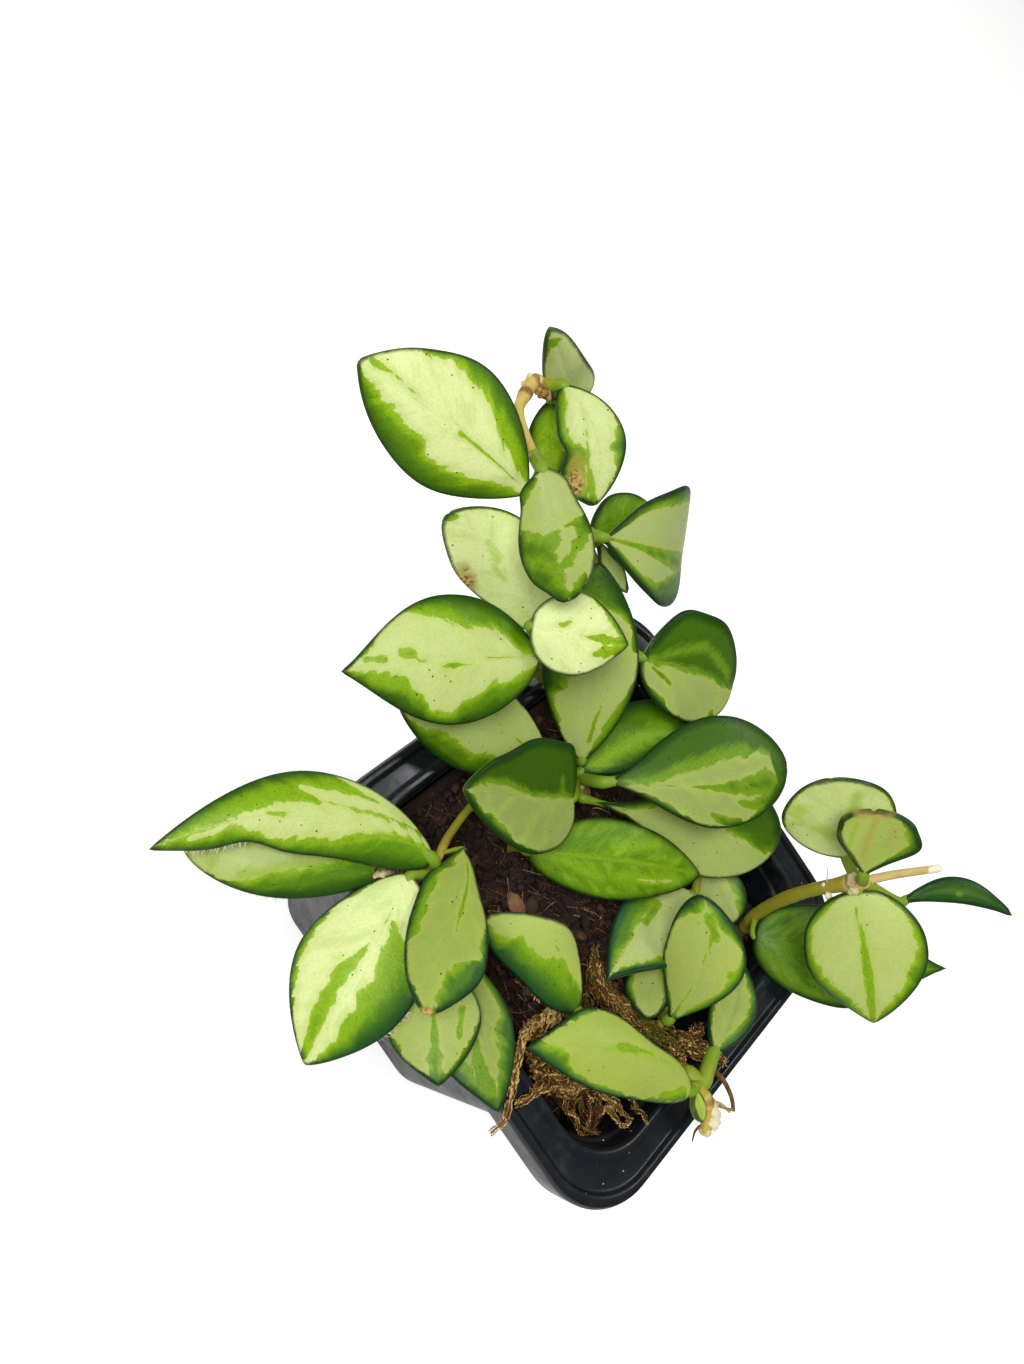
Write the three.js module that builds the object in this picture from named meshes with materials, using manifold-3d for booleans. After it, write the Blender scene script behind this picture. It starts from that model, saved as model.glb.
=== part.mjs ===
// A variegated hoya with trailing stems, in a small square nursery pot filled with potting mix.
// Millimetres, +Z up. The origin is the centre of the pot's base, which stands on z = 0.
// The pot's sides face the axes, and the longest vine leans out over the -X side.

import * as THREE from 'three';
import { mergeVertices } from 'three/addons/utils/BufferGeometryUtils.js';
import Module from 'manifold-3d';

const wasm = await Module();
wasm.setup();

// The pot
const RIM_SIDE = 80;
const BASE_SIDE = 56;
const POT_HEIGHT = 70;
const RIM_CORNER = 12;
const BASE_CORNER = 9;
const WALL = 1.3;
const FLOOR = 1.6;
const SKIRT_HEIGHT = 7.5;
const LIP_WIDTH = 1.6;
const BAND_WIDTH = 3.8;
const BEAD_WIDTH = 1.4;
const BAND_DEPTH = 0.7;
const BEAD_DROP = 0.3;
const LEDGE_WIDTH = 1.0;
const LEDGE_DEPTH = 4.2;
const DRAIN_RADIUS = 3.2;
const DRAIN_SPACING = 17;

// The soil
const SOIL_LEVEL = 60;
const SOIL_DIP = 11;
const DIP_REACH = 13;
const ROOT_DEPTH = 6;
const ROOT_PLAY = 0.5;
const CLEARANCE = 0.3;

// The plant
const LEAF_THICKNESS = 1.4;
const LEAF_EDGE = 0.9;
const PETIOLE_RADIUS = 0.75;
const PETIOLE_SUNK = 0.12;
const LEAF_STEPS_ALONG = 7;
const BROAD_LEAF = 9;
const SCRAP_VOLUME = 1;

const materials = {
  plastic: new THREE.MeshStandardMaterial({ color: 0x232a30, roughness: 0.45 }),
  soil: new THREE.MeshStandardMaterial({ color: 0x34241a, roughness: 0.95 }),
  moss: new THREE.MeshStandardMaterial({ color: 0x8c7038, roughness: 0.9 }),
  leaf: new THREE.MeshStandardMaterial({ color: 0xa9c45a, roughness: 0.4 }),
};

const vector = (point) => new THREE.Vector3(...point);

// Solids

// Turns a closed geometry into a solid that can be joined and cut.
function toSolid(geometry) {
  const bare = new THREE.BufferGeometry();
  bare.setAttribute('position', geometry.getAttribute('position').clone());
  bare.setIndex(geometry.getIndex());
  const merged = mergeVertices(bare, 1e-4);
  const mesh = new wasm.Mesh({
    numProp: 3,
    vertProperties: new Float32Array(merged.getAttribute('position').array),
    triVerts: new Uint32Array(merged.getIndex().array),
  });
  return new wasm.Manifold(mesh);
}

// Joins solids that overlap, fills the hollows that this seals, and drops the scraps that it leaves.
function join(solids) {
  const whole = solids.reduce((joined, solid) => joined.add(solid));
  return wasm.Manifold.compose(whole.decompose().filter((body) => body.volume() > SCRAP_VOLUME));
}

// Turns a solid into the named mesh of one sub-part.
function toMesh(name, solid, material) {
  const { vertProperties, triVerts } = solid.getMesh();
  const geometry = new THREE.BufferGeometry();
  geometry.setAttribute('position', new THREE.BufferAttribute(new Float32Array(vertProperties), 3));
  geometry.setIndex(new THREE.BufferAttribute(new Uint32Array(triVerts), 1));
  geometry.computeVertexNormals();
  const mesh = new THREE.Mesh(geometry, material);
  mesh.name = name;
  return mesh;
}

// A body through a stack of rings of points, with a fan over its first and its last ring.
function loft(rings) {
  const count = rings[0].length;
  const points = rings.flat();
  const centres = [rings[0], rings.at(-1)].map((ring) => {
    const sum = ring.reduce((total, point) => total.add(point), new THREE.Vector3());
    return sum.divideScalar(count);
  });
  const [first, last] = [points.length, points.length + 1];
  const triangles = [];
  for (let i = 0; i < count; i += 1) {
    const j = (i + 1) % count;
    for (let k = 0; k + 1 < rings.length; k += 1) {
      const [a, b, c, d] = [k * count + i, k * count + j, (k + 1) * count + i, (k + 1) * count + j];
      triangles.push(a, b, d, a, d, c);
    }
    const top = (rings.length - 1) * count;
    triangles.push(first, j, i, last, top + i, top + j);
  }
  const geometry = new THREE.BufferGeometry();
  geometry.setFromPoints([...points, ...centres]);
  geometry.setIndex(triangles);
  return toSolid(geometry);
}

// A tube of the given radius along a smooth line through the points.
function tube(points, radius, sides = 6, step = 3) {
  const curve = new THREE.CatmullRomCurve3(points.map(vector), false, 'centripetal');
  const section = new THREE.Shape();
  for (let i = 0; i < sides; i += 1) {
    const angle = (2 * Math.PI * i) / sides;
    const [x, y] = [radius * Math.cos(angle), radius * Math.sin(angle)];
    if (i === 0) section.moveTo(x, y);
    else section.lineTo(x, y);
  }
  const steps = Math.max(2, Math.round(curve.getLength() / step));
  return toSolid(new THREE.ExtrudeGeometry(section, { extrudePath: curve, steps, curveSegments: 1 }));
}

function ball(centre, radius) {
  return toSolid(new THREE.IcosahedronGeometry(radius, 1).translate(...centre));
}

// The pot

const CORNER_STEPS = 4;

// A square outline with round corners, at one height.
function roundedSquare(half, corner, z) {
  const points = [];
  for (let side = 0; side < 4; side += 1) {
    for (let k = 0; k <= CORNER_STEPS; k += 1) {
      const angle = (Math.PI / 2) * (side + k / CORNER_STEPS);
      const cornerAngle = (Math.PI / 2) * (side + 0.5);
      const reach = (half - corner) * Math.SQRT2;
      const x = reach * Math.cos(cornerAngle) + corner * Math.cos(angle);
      const y = reach * Math.sin(cornerAngle) + corner * Math.sin(angle);
      points.push(new THREE.Vector3(x, y, z));
    }
  }
  return points;
}

const rimHalf = RIM_SIDE / 2;
const mouthHalf = rimHalf - LIP_WIDTH - BAND_WIDTH - BEAD_WIDTH;
const ledgeHalf = mouthHalf - LEDGE_WIDTH;
const ledgeHeight = POT_HEIGHT - LEDGE_DEPTH;

// The wall's outside and inside half-widths at a height: it widens evenly from base to ledge.
function wallHalf(z) {
  return BASE_SIDE / 2 + ((ledgeHalf + WALL - BASE_SIDE / 2) * z) / ledgeHeight;
}

function innerHalf(z) {
  return wallHalf(z) - WALL;
}

function cornerAt(half) {
  const share = (half - BASE_SIDE / 2) / (rimHalf - BASE_SIDE / 2);
  return BASE_CORNER + (RIM_CORNER - BASE_CORNER) * share;
}

// The pot's section from the outside of its base, over the stepped rim and down to its floor.
// The rim has a raised outer lip, a shallow band, an inner bead, and a skirt that hangs outside the wall.
function makePot() {
  const ease = 0.4;
  const skirtTop = POT_HEIGHT - 2.5;
  const skirtInner = rimHalf - 1.5 * WALL;
  const bandOuter = rimHalf - LIP_WIDTH - ease;
  const bandInner = mouthHalf + BEAD_WIDTH;
  const section = [
    [BASE_SIDE / 2 - 2 * ease, 0],
    [BASE_SIDE / 2, 2 * ease],
    [wallHalf(skirtTop), skirtTop],
    [skirtInner, skirtTop],
    [skirtInner - ease, POT_HEIGHT - SKIRT_HEIGHT],
    [rimHalf - 1.5 * ease, POT_HEIGHT - SKIRT_HEIGHT],
    [rimHalf, POT_HEIGHT - 3 * ease],
    [rimHalf - ease, POT_HEIGHT],
    [rimHalf - LIP_WIDTH, POT_HEIGHT],
    [bandOuter, POT_HEIGHT - BAND_DEPTH],
    [bandInner + ease, POT_HEIGHT - BAND_DEPTH],
    [bandInner, POT_HEIGHT - BEAD_DROP],
    [mouthHalf + ease, POT_HEIGHT - BEAD_DROP],
    [mouthHalf, POT_HEIGHT - BEAD_DROP - ease],
    [mouthHalf - ease, ledgeHeight + ease],
    [ledgeHalf, ledgeHeight],
    [innerHalf(FLOOR), FLOOR],
  ];
  const body = loft(section.map(([half, z]) => roundedSquare(half, cornerAt(half), z)));
  const holes = [];
  for (const x of [-1, 0, 1]) {
    for (const y of [-1, 0, 1]) {
      if (x === 0 && y === 0) continue;
      const drain = new THREE.CylinderGeometry(DRAIN_RADIUS, DRAIN_RADIUS, 3 * FLOOR, 16);
      drain.rotateX(Math.PI / 2).translate(x * DRAIN_SPACING, y * DRAIN_SPACING, FLOOR / 2);
      holes.push(toSolid(drain));
    }
  }
  return holes.reduce((pot, hole) => pot.subtract(hole), body);
}

// The soil

// The soil's surface: gently uneven, and sunk at the +X -Y corner.
function soilHeight(x, y) {
  const lumps = 0.7 * Math.sin(0.33 * x + 1) * Math.cos(0.29 * y) + 0.4 * Math.sin(0.7 * y + 0.5 * x);
  const fromCorner = Math.hypot(x - mouthHalf, y + mouthHalf) / DIP_REACH;
  return SOIL_LEVEL + lumps - SOIL_DIP * Math.exp(-fromCorner * fromCorner);
}

// Concentric rings of the soil's outline carry the surface, from the wall to the middle. The outer ring
// follows the wall inwards where the surface dips.
function makeSoil(roots) {
  const bottom = FLOOR + CLEARANCE;
  const soilHalf = (z) => innerHalf(z) - CLEARANCE - 0.1;
  const outline = (z) => roundedSquare(soilHalf(z), cornerAt(soilHalf(z)), z);
  const edge = soilHalf(SOIL_LEVEL);
  const rings = [outline(bottom)];
  rings.push(outline(SOIL_LEVEL).map(({ x, y }, i) => outline(soilHeight(x, y))[i]));
  for (const share of [0.86, 0.7, 0.54, 0.38, 0.22, 0.08]) {
    const ring = roundedSquare(edge * share, cornerAt(edge) * share, 0);
    rings.push(ring.map((point) => point.setZ(soilHeight(point.x, point.y))));
  }
  return roots.reduce((soil, { at: [x, y], radius }) => {
    const holeRadius = radius + ROOT_PLAY;
    const hole = new THREE.CylinderGeometry(holeRadius, holeRadius, 3 * ROOT_DEPTH, 8);
    hole.rotateX(Math.PI / 2).translate(x, y, SOIL_LEVEL + ROOT_DEPTH / 2 - CLEARANCE);
    return soil.subtract(toSolid(hole));
  }, loft(rings));
}

// The leaves

// base and tip are the ends of the midrib, and roll turns the blade about it from level. The form is
// [where it is widest, fullness towards the base, fullness towards the tip]. The bends are shares of the
// length or half-width: [arch of the midrib, cup of the edges, fold along the midrib, sideways sweep].
function leaf(base, tip, width, roll, form, bends = [0, 0, 0, 0]) {
  const [widest, baseFullness, tipFullness] = form;
  const [arch, cup, fold, sweep] = bends;
  const along = vector(tip).sub(vector(base));
  const length = along.length();
  along.normalize();
  const level = new THREE.Vector3().crossVectors(along, new THREE.Vector3(0, 0, 1)).normalize();
  const upward = new THREE.Vector3().crossVectors(level, along);
  const turn = THREE.MathUtils.degToRad(roll);
  const side = level.clone().multiplyScalar(Math.cos(turn)).addScaledVector(upward, Math.sin(turn));
  const normal = new THREE.Vector3().crossVectors(side, along);
  return { base: vector(base), along, side, normal, length, width, widest, baseFullness, tipFullness,
    arch, cup, fold, sweep };
}

// How wide the blade is at u, as a share of its full width.
function swell(blade, u) {
  const stretch = Math.log(0.5) / Math.log(blade.widest);
  const fullness = u < blade.widest ? blade.baseFullness : blade.tipFullness;
  return Math.sin(Math.PI * u ** stretch) ** fullness;
}

// The point of a leaf at u from base to tip and v from edge to edge, off its middle surface by a height.
function leafPoint(blade, u, v, height = 0) {
  const half = Math.max(0.45, (blade.width / 2) * swell(blade, u));
  const bow = 4 * u * (1 - u) * blade.length;
  const lift = half * (blade.fold * Math.hypot(v, 0.1) - blade.cup * v * v);
  return blade.base.clone()
    .addScaledVector(blade.along, u * blade.length)
    .addScaledVector(blade.normal, blade.arch * bow + lift + height)
    .addScaledVector(blade.side, blade.sweep * bow + half * v);
}

function leafSolid(blade) {
  const stepsAcross = blade.width > BROAD_LEAF ? 4 : 2;
  const rings = [];
  for (let k = 0; k <= LEAF_STEPS_ALONG; k += 1) {
    const u = THREE.MathUtils.clamp(k / LEAF_STEPS_ALONG, 0.001, 0.999);
    const upper = [];
    const lower = [];
    for (let m = 0; m <= stepsAcross; m += 1) {
      const v = (2 * m) / stepsAcross - 1;
      const body = (LEAF_THICKNESS - LEAF_EDGE) * (1 - v * v) * swell(blade, u);
      const half = (LEAF_EDGE + body) / 2;
      upper.push(leafPoint(blade, u, v, half));
      lower.unshift(leafPoint(blade, u, v, -half));
    }
    rings.push([...upper, ...lower]);
  }
  return loft(rings);
}

// The petiole runs from the nearest point of the stem into the foot of the blade.
function petiole(blade, curve, stemRadius) {
  const spots = curve.getSpacedPoints(60);
  const nearest = spots.reduce((a, b) => (a.distanceTo(blade.base) < b.distanceTo(blade.base) ? a : b));
  const foot = leafPoint(blade, PETIOLE_SUNK, 0);
  const radius = Math.min(PETIOLE_RADIUS, stemRadius);
  return tube([nearest, blade.base, foot].map((point) => point.toArray()), radius, 5, 2.5);
}

// One leafy stem: the stem, its knots and cut or dry ends, and its leaves on their petioles.
function leafyStem({ stem, radius, leaves, knots = [], twigs = [] }) {
  const curve = new THREE.CatmullRomCurve3(stem.map(vector), false, 'centripetal');
  const solids = [tube(stem, radius)];
  for (const blade of leaves) {
    solids.push(leafSolid(blade), petiole(blade, curve, radius));
  }
  for (const [centre, size] of knots) solids.push(ball(centre, size));
  for (const [points, size] of twigs) solids.push(tube(points, size, 5, 2.5));
  return join(solids);
}

// A stem's first points stand upright in the soil, which gets a plain hole for them.
function rooted(x, y, rest) {
  return [[x, y, SOIL_LEVEL - ROOT_DEPTH], [x, y, SOIL_LEVEL - 2], [x, y, SOIL_LEVEL + 1.5], ...rest];
}

const stems = {
  // Leans out over the -X side, with a corky node at its far end.
  long_vine: {
    radius: 1.0,
    stem: rooted(-23, 28, [
      [-26, 28, 66], [-32, 26, 73], [-39, 24, 80], [-46, 22, 86], [-52, 19, 91], [-58, 16, 95],
      [-64, 12, 99], [-69, 11, 101], [-73, 13, 101], [-75, 17, 101], [-74, 22, 100],
    ]),
    knots: [[[-75, 17, 101], 1.5], [[-74, 22, 100], 1.4]],
    leaves: [
      leaf([-62, 8, 98], [-89, -8, 102], 19, 41, [0.50, 0.80, 0.72], [0.04, 0.15, 0, 0.03]),
      leaf([-71, 27, 98], [-80, 19, 110], 8, 71, [0.55, 0.70, 0.50], [0, 0.10, 0, 0.06]),
      leaf([-73, 22, 103], [-55, 17, 99], 11, -41, [0.50, 0.60, 0.70], [0.05, 0.10, 0, -0.14]),
      leaf([-73, 24, 97], [-63, 22, 90], 7, -41, [0.50, 0.60, 0.70], [0, 0, 0, 0.05]),
      leaf([-63, 6, 106], [-45, 1, 100], 11, -38, [0.60, 0.70, 0.55], [0.06, 0.20, 0, 0]),
      leaf([-50, 18, 96], [-41, 44, 84], 21, -31, [0.66, 1.25, 0.50], [0.12, -0.05, 0, 0]),
      leaf([-52, 21, 91], [-50, 37, 90], 9, -10, [0.50, 0.60, 0.60]),
      leaf([-50, 21, 91], [-40, 24, 87], 3, -46, [0.50, 0.80, 0.80]),
      leaf([-29, 23, 82], [-14, 42, 78], 20, -26, [0.52, 0.50, 0.50], [0.04, 0, 0.10, -0.03]),
    ],
  },
  // Rises behind its own leaves to a bright young pair, with its oldest leaves round its foot.
  middle_vine: {
    radius: 1.1,
    stem: rooted(-13, 11, [
      [-15, 9, 64], [-20, 10, 65.5], [-26, 12, 68], [-31, 12, 71.5], [-36.5, 9, 73.5], [-41, 5.5, 77],
      [-43, 3, 82], [-43, 3, 87],
    ]),
    knots: [[[-15.5, 9, 64.5], 1.7], [[-43, 3, 87], 1.3]],
    leaves: [
      leaf([-44, 6, 84], [-66, -2, 92], 13.5, 40, [0.50, 0.55, 0.50], [0.04, 0.15, 0, 0.10]),
      leaf([-40, 0, 88], [-55, -27, 82], 20, 16, [0.47, 0.65, 1.10], [0.06, 0.20, 0, 0.02]),
      leaf([-45, -1, 92], [-34, 9, 97], 13, -25, [0.45, 0.55, 0.90], [0.05, 0.15, 0, 0]),
      leaf([-23, 2, 69], [-48, -20, 80], 15, 26, [0.50, 0.60, 0.60], [0.05, 0.20, 0, 0.02]),
      leaf([-20, 7, 72], [-47, 18, 92], 16, 40, [0.50, 0.80, 0.70], [0.05, 0.15, 0, 0]),
      leaf([-18, 8, 68], [-14, 33, 74], 12, 4, [0.50, 0.80, 0.70], [0.04, 0, 0, -0.04]),
      leaf([-16, 1, 72], [-30, -20, 80], 19, 13, [0.42, 0.50, 0.70], [0, 0, 0.25, 0]),
      leaf([-15, 7, 74], [2, 34, 86], 20, -8, [0.60, 1.00, 0.48], [0.05, 0.10, 0, 0]),
      leaf([-14, 6, 67], [15, 34, 74.5], 19, -17, [0.66, 1.30, 0.50], [0.03, 0.05, 0, 0.02]),
    ],
  },
  // Creeps over the -Y rim, and its leaves hang outside the pot.
  left_vine: {
    radius: 0.8,
    stem: rooted(-24, -5, [
      [-25, -13, 66], [-24, -21, 69], [-23, -26, 72], [-22, -29, 73], [-19, -30, 73], [-15, -32, 72],
      [-11, -33, 72], [-8, -34, 72],
    ]),
    knots: [[[-22.5, -28, 72.5], 1.4]],
    leaves: [
      leaf([-24, -29, 76], [-49, -60, 68], 13.5, 9, [0.45, 0.60, 0.90], [0.10, 0.35, 0, 0.13]),
      leaf([-24, -31, 72], [-47, -55, 66], 10.5, 10, [0.60, 0.80, 0.50], [0.10, 0.30, 0, -0.03]),
      leaf([-24, -33, 75], [-11, -59, 66.5], 18, -24, [0.50, 0.60, 0.80], [0.08, 0.20, 0, -0.02]),
      leaf([-22, -23, 75], [-9, -46, 82.5], 12, -26, [0.55, 0.75, 0.60], [0.06, 0.15, 0, -0.02]),
      leaf([-12, -37, 72.5], [2, -48, 75.5], 14, -26, [0.50, 0.60, 0.90], [0.03, 0.15, 0, 0]),
      leaf([-8, -32, 71], [11, -43, 76], 10, -16, [0.50, 0.60, 0.90], [0.06, 0.15, 0, 0]),
    ],
  },
  // Stands upright by the +X side, with a knobby node, a bud and a cut stub at its top.
  right_vine: {
    radius: 1.0,
    stem: rooted(28, 24, [[25, 23, 68], [22, 23, 76], [21, 22, 85], [20, 22, 91], [21, 23, 97]]),
    knots: [[[20.5, 22.5, 95], 1.5], [[21, 23, 97.5], 1.6], [[21.3, 19.6, 92], 0.9], [[26, 21, 68], 1.4]],
    twigs: [[[[21, 23, 97], [23, 27, 100], [26, 32, 104]], 0.5]],
    leaves: [
      leaf([16, 23, 97], [2, 23, 104], 18, 56, [0.50, 0.55, 0.50], [0, 0.10, 0, 0]),
      leaf([18, 19.5, 101.5], [10, 25.5, 107.5], 13, 50, [0.62, 0.70, 0.35], [0, -0.35, 0, 0]),
      leaf([22, 22, 96], [44, 16, 88], 20, -53, [0.46, 0.50, 0.85], [0.05, 0.10, 0, 0]),
      leaf([26, 18, 71], [53, 42, 84], 18, -11, [0.42, 0.50, 1.35], [0.05, 0.15, 0, 0.03]),
      leaf([29, 28, 97], [41, 39, 106], 4.5, -13, [0.50, 0.80, 0.80], [0, 0, 0, -0.17]),
    ],
  },
  // Creeps through the moss, with its leaves raised over it.
  centre_shoot: {
    radius: 0.8,
    stem: rooted(28, -4, [[26, -3, 64], [21, 3, 64], [17, 10, 64], [15, 17, 64], [11, 23, 64]]),
    leaves: [
      leaf([10, 24, 63.5], [24, 20, 65.5], 10, -36, [0.60, 0.60, 0.50]),
      leaf([14, 16, 65], [12, -12, 69], 12, -21, [0.45, 0.60, 1.00], [0.03, -0.10, 0, 0.06]),
      leaf([26, -5, 67], [10, 7, 80], 14, 43, [0.55, 0.90, 0.55], [0.04, 0.15, 0, 0.12]),
      leaf([17, 2, 63], [24, -7, 65], 8.5, -37, [0.50, 0.60, 0.60]),
    ],
  },
  // Grows by the +X side of the soil, over the rim, with a bud and a dry petiole.
  corner_shoot: {
    radius: 0.9,
    stem: rooted(29, -10, [[30, -10, 67], [33, -11, 73], [37, -12, 74]]),
    knots: [[[37, -12, 74], 1.5], [[38.4, -13.4, 74], 1.2]],
    twigs: [[[[37, -12, 74], [40, -9, 75], [42, -8, 74]], 0.5]],
    leaves: [
      leaf([33, -5, 73], [26, 10, 74], 8, 38, [0.50, 0.80, 0.70], [0, 0, 0, 0.06]),
      leaf([33, -14, 75], [8, -33, 74], 12.5, 7, [0.50, 0.50, 1.00], [0.06, 0.35, 0, 0.09]),
    ],
  },
  // Two low leaves that stand in the soil on their own petioles.
  broad_leaf: {
    radius: 0.8,
    stem: rooted(-14, -8, [[-13.6, -8.4, 65]]),
    leaves: [leaf([-13, -9, 66.5], [10, 15, 71.5], 14, -13, [0.47, 0.60, 0.70], [0.05, 0.15, 0, -0.02])],
  },
  near_leaf: {
    radius: 0.8,
    stem: rooted(15, -17, [[13.8, -17.6, 65]]),
    leaves: [leaf([13, -18, 66], [-10, -24, 69], 11, 23, [0.50, 0.60, 0.60], [0.05, 0.20, 0, 0.03])],
  },
};

// The moss

const MOSS_LIFT = 0.75;
const STRAND_RADIUS = 0.5;

let seed = 11;
function random(low, high) {
  seed = (seed * 16807) % 2147483647;
  return low + ((high - low) * seed) / 2147483647;
}

// Lays points that are given in plan on the soil, with room for a strand of the given radius.
function onSoil(plan, radius) {
  return plan.map(([x, y, extra = 0]) => [x, y, soilHeight(x, y) + MOSS_LIFT + radius + extra]);
}

// A patch of moss: a low core that follows a line over the soil, and strands that wander off it.
function mossPatch(line, coreRadius, strandCount, reach) {
  const curve = new THREE.CatmullRomCurve3(line.map(([x, y]) => new THREE.Vector3(x, y, 0)));
  const solids = [tube(onSoil(line, coreRadius), coreRadius, 7, 2.5)];
  for (let i = 0; i < strandCount; i += 1) {
    const root = curve.getPointAt((i + 0.5) / strandCount);
    const heading = random(0, 2 * Math.PI);
    const turn = random(-1.2, 1.2);
    const plan = [];
    for (let k = 0; k <= 3; k += 1) {
      const angle = heading + (turn * k) / 3;
      const distance = (reach * k) / 3;
      plan.push([root.x + distance * Math.cos(angle), root.y + distance * Math.sin(angle), random(0, 1)]);
    }
    solids.push(tube(onSoil(plan, STRAND_RADIUS), STRAND_RADIUS, 5, 2));
  }
  return join(solids);
}

// Dry golden strands that reach from the soil over the rim, and one that falls outside it.
function makeFringe() {
  const trunk = [[11, -21, 63], [10.5, -27, 66], [12, -31, 70], [14, -35, 72], [15, -40, 72], [14.5, -43, 69]];
  const side = [[20, -25, 62.5], [18, -29, 66], [16, -33, 71], [14.2, -35.5, 72]];
  const fork = [[10.5, -31, 70.5], [12, -35, 73], [14.6, -38.5, 72.5]];
  return join([tube(trunk, 0.7, 6, 2), tube(side, 0.6, 5, 2), tube(fork, 0.5, 5, 2),
    tube([[11, -21, 63], [10.8, -28, 68], [10.5, -31, 70.5]], 0.5, 5, 2)]);
}

// The whole plant in its pot

const plant = new THREE.Group();
const roots = Object.values(stems).map(({ stem, radius }) => ({ at: stem[0], radius }));
plant.add(toMesh('pot', makePot(), materials.plastic));
plant.add(toMesh('potting_mix', makeSoil(roots), materials.soil));
for (const [name, parts] of Object.entries(stems)) {
  plant.add(toMesh(name, leafyStem(parts), materials.leaf));
}
const mossLine = [[8, -11], [14, -9.5], [19, -8.5], [23.5, -9]];
plant.add(toMesh('moss_patch', mossPatch(mossLine, 1.4, 12, 5.5), materials.moss));
plant.add(toMesh('moss_fringe', makeFringe(), materials.moss));

export default plant;
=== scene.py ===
# %% [markdown]
# # A variegated hoya in a nursery pot
# The plant is a small trailing hoya. Its leaves are thick and waxy, cream in the middle and green at
# the edge, and its stems wander out of a square black pot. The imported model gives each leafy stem, the
# pot, the soil and the moss as plain solids. This lesson keeps their forms and gives them fine skins.

# %% Load the frame
import math
from dataclasses import dataclass

import bmesh
import bpy
import numpy as np
from mathutils import Matrix, Vector, noise


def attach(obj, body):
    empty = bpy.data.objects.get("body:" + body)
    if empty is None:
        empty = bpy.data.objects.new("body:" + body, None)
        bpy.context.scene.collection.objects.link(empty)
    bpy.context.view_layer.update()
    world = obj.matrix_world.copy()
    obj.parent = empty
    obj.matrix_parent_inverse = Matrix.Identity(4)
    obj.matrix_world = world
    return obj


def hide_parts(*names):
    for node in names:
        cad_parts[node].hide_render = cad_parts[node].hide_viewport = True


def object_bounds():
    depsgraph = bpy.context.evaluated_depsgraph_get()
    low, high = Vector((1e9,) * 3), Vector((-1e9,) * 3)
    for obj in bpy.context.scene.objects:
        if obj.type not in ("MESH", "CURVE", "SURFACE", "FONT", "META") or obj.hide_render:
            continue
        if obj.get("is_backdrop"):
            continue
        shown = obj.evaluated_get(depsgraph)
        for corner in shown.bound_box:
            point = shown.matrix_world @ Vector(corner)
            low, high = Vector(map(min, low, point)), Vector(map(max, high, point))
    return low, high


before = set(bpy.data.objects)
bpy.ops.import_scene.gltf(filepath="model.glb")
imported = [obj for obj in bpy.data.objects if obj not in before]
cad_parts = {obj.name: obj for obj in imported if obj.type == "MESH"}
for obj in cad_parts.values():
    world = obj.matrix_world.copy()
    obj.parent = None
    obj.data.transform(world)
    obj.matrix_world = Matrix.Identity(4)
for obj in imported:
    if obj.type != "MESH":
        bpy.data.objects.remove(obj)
cad_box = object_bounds()
MM = 0.001
print("nodes in the frame:", ", ".join(sorted(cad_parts)))

# %% [markdown]
# ## The view
# The photograph was taken from close above the pot with a phone's wide lens, held askew. A camera can be
# aimed with a constraint, but a fixed matrix shows plainly where it stands. So the matrix is built from
# the place of the lens, the point it looks at and the direction that is up in the picture.

# %% The camera
LENS_AT = Vector((-48, -96, 217)) * MM
LOOKS_AT = Vector((-38.2, 5.5, 70)) * MM
PICTURE_UP = Vector((-0.829, 0.485, 0.279))
LENS_LENGTH = 27.05
SENSOR_LONG_SIDE = 36


def aim(place, target, up):
    """The matrix of a camera or light at a place, which looks at the target."""
    forward = (target - place).normalized()
    right = forward.cross(up).normalized()
    level_up = right.cross(forward)
    turn = Matrix((right, level_up, -forward)).transposed()
    return Matrix.Translation(place) @ turn.to_4x4()


scene = bpy.context.scene
lens = bpy.data.cameras.new("lens")
lens.lens = LENS_LENGTH
lens.sensor_width = SENSOR_LONG_SIDE
lens.clip_start = 5 * MM
camera = bpy.data.objects.new("camera", lens)
camera.matrix_world = aim(LENS_AT, LOOKS_AT, PICTURE_UP)
scene.collection.objects.link(camera)
scene.camera = camera
print("camera at", tuple(round(c, 3) for c in camera.location))

# %% [markdown]
# ## Light
# The photograph has the soft light of a bright cloudy sky: few hard shadows, and pale sheens on the waxy
# leaves. One sun lamp would be too hard. A big disc of light above the near side stands for the sky, a
# smaller one behind draws the gloss on the pot's rim, and a pale world fills the shadows. The world is
# brighter for the camera than it is for the plant, so that the horizon melts into the floor. The Standard
# view keeps the greens as strong as they are in the photograph.

# %% The lamps
scene.view_settings.view_transform = "Standard"
PLANT_MIDDLE = Vector((-0.02, 0, 0.07))
LAMP_UP = Vector((0.1, 0.2, 0.9))


def area_light(name, place, size, power):
    """A disc of light that faces the middle of the plant."""
    lamp = bpy.data.lights.new(name, "AREA")
    lamp.shape = "DISK"
    lamp.size = size
    lamp.energy = power
    light = bpy.data.objects.new(name, lamp)
    light.matrix_world = aim(Vector(place), PLANT_MIDDLE, LAMP_UP)
    scene.collection.objects.link(light)
    print(f"{name}: {power} W from a disc {size} m wide")


area_light("open sky", place=(-0.24, -0.42, 0.80), size=0.45, power=6.0)
area_light("sheen", place=(0.0, 0.30, 0.68), size=0.22, power=1.25)

# %% The world
WORLD_TINT = (1.0, 1.0, 0.97, 1)
WORLD_AS_LIGHT = 0.28
WORLD_AS_SEEN = 0.62

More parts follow.
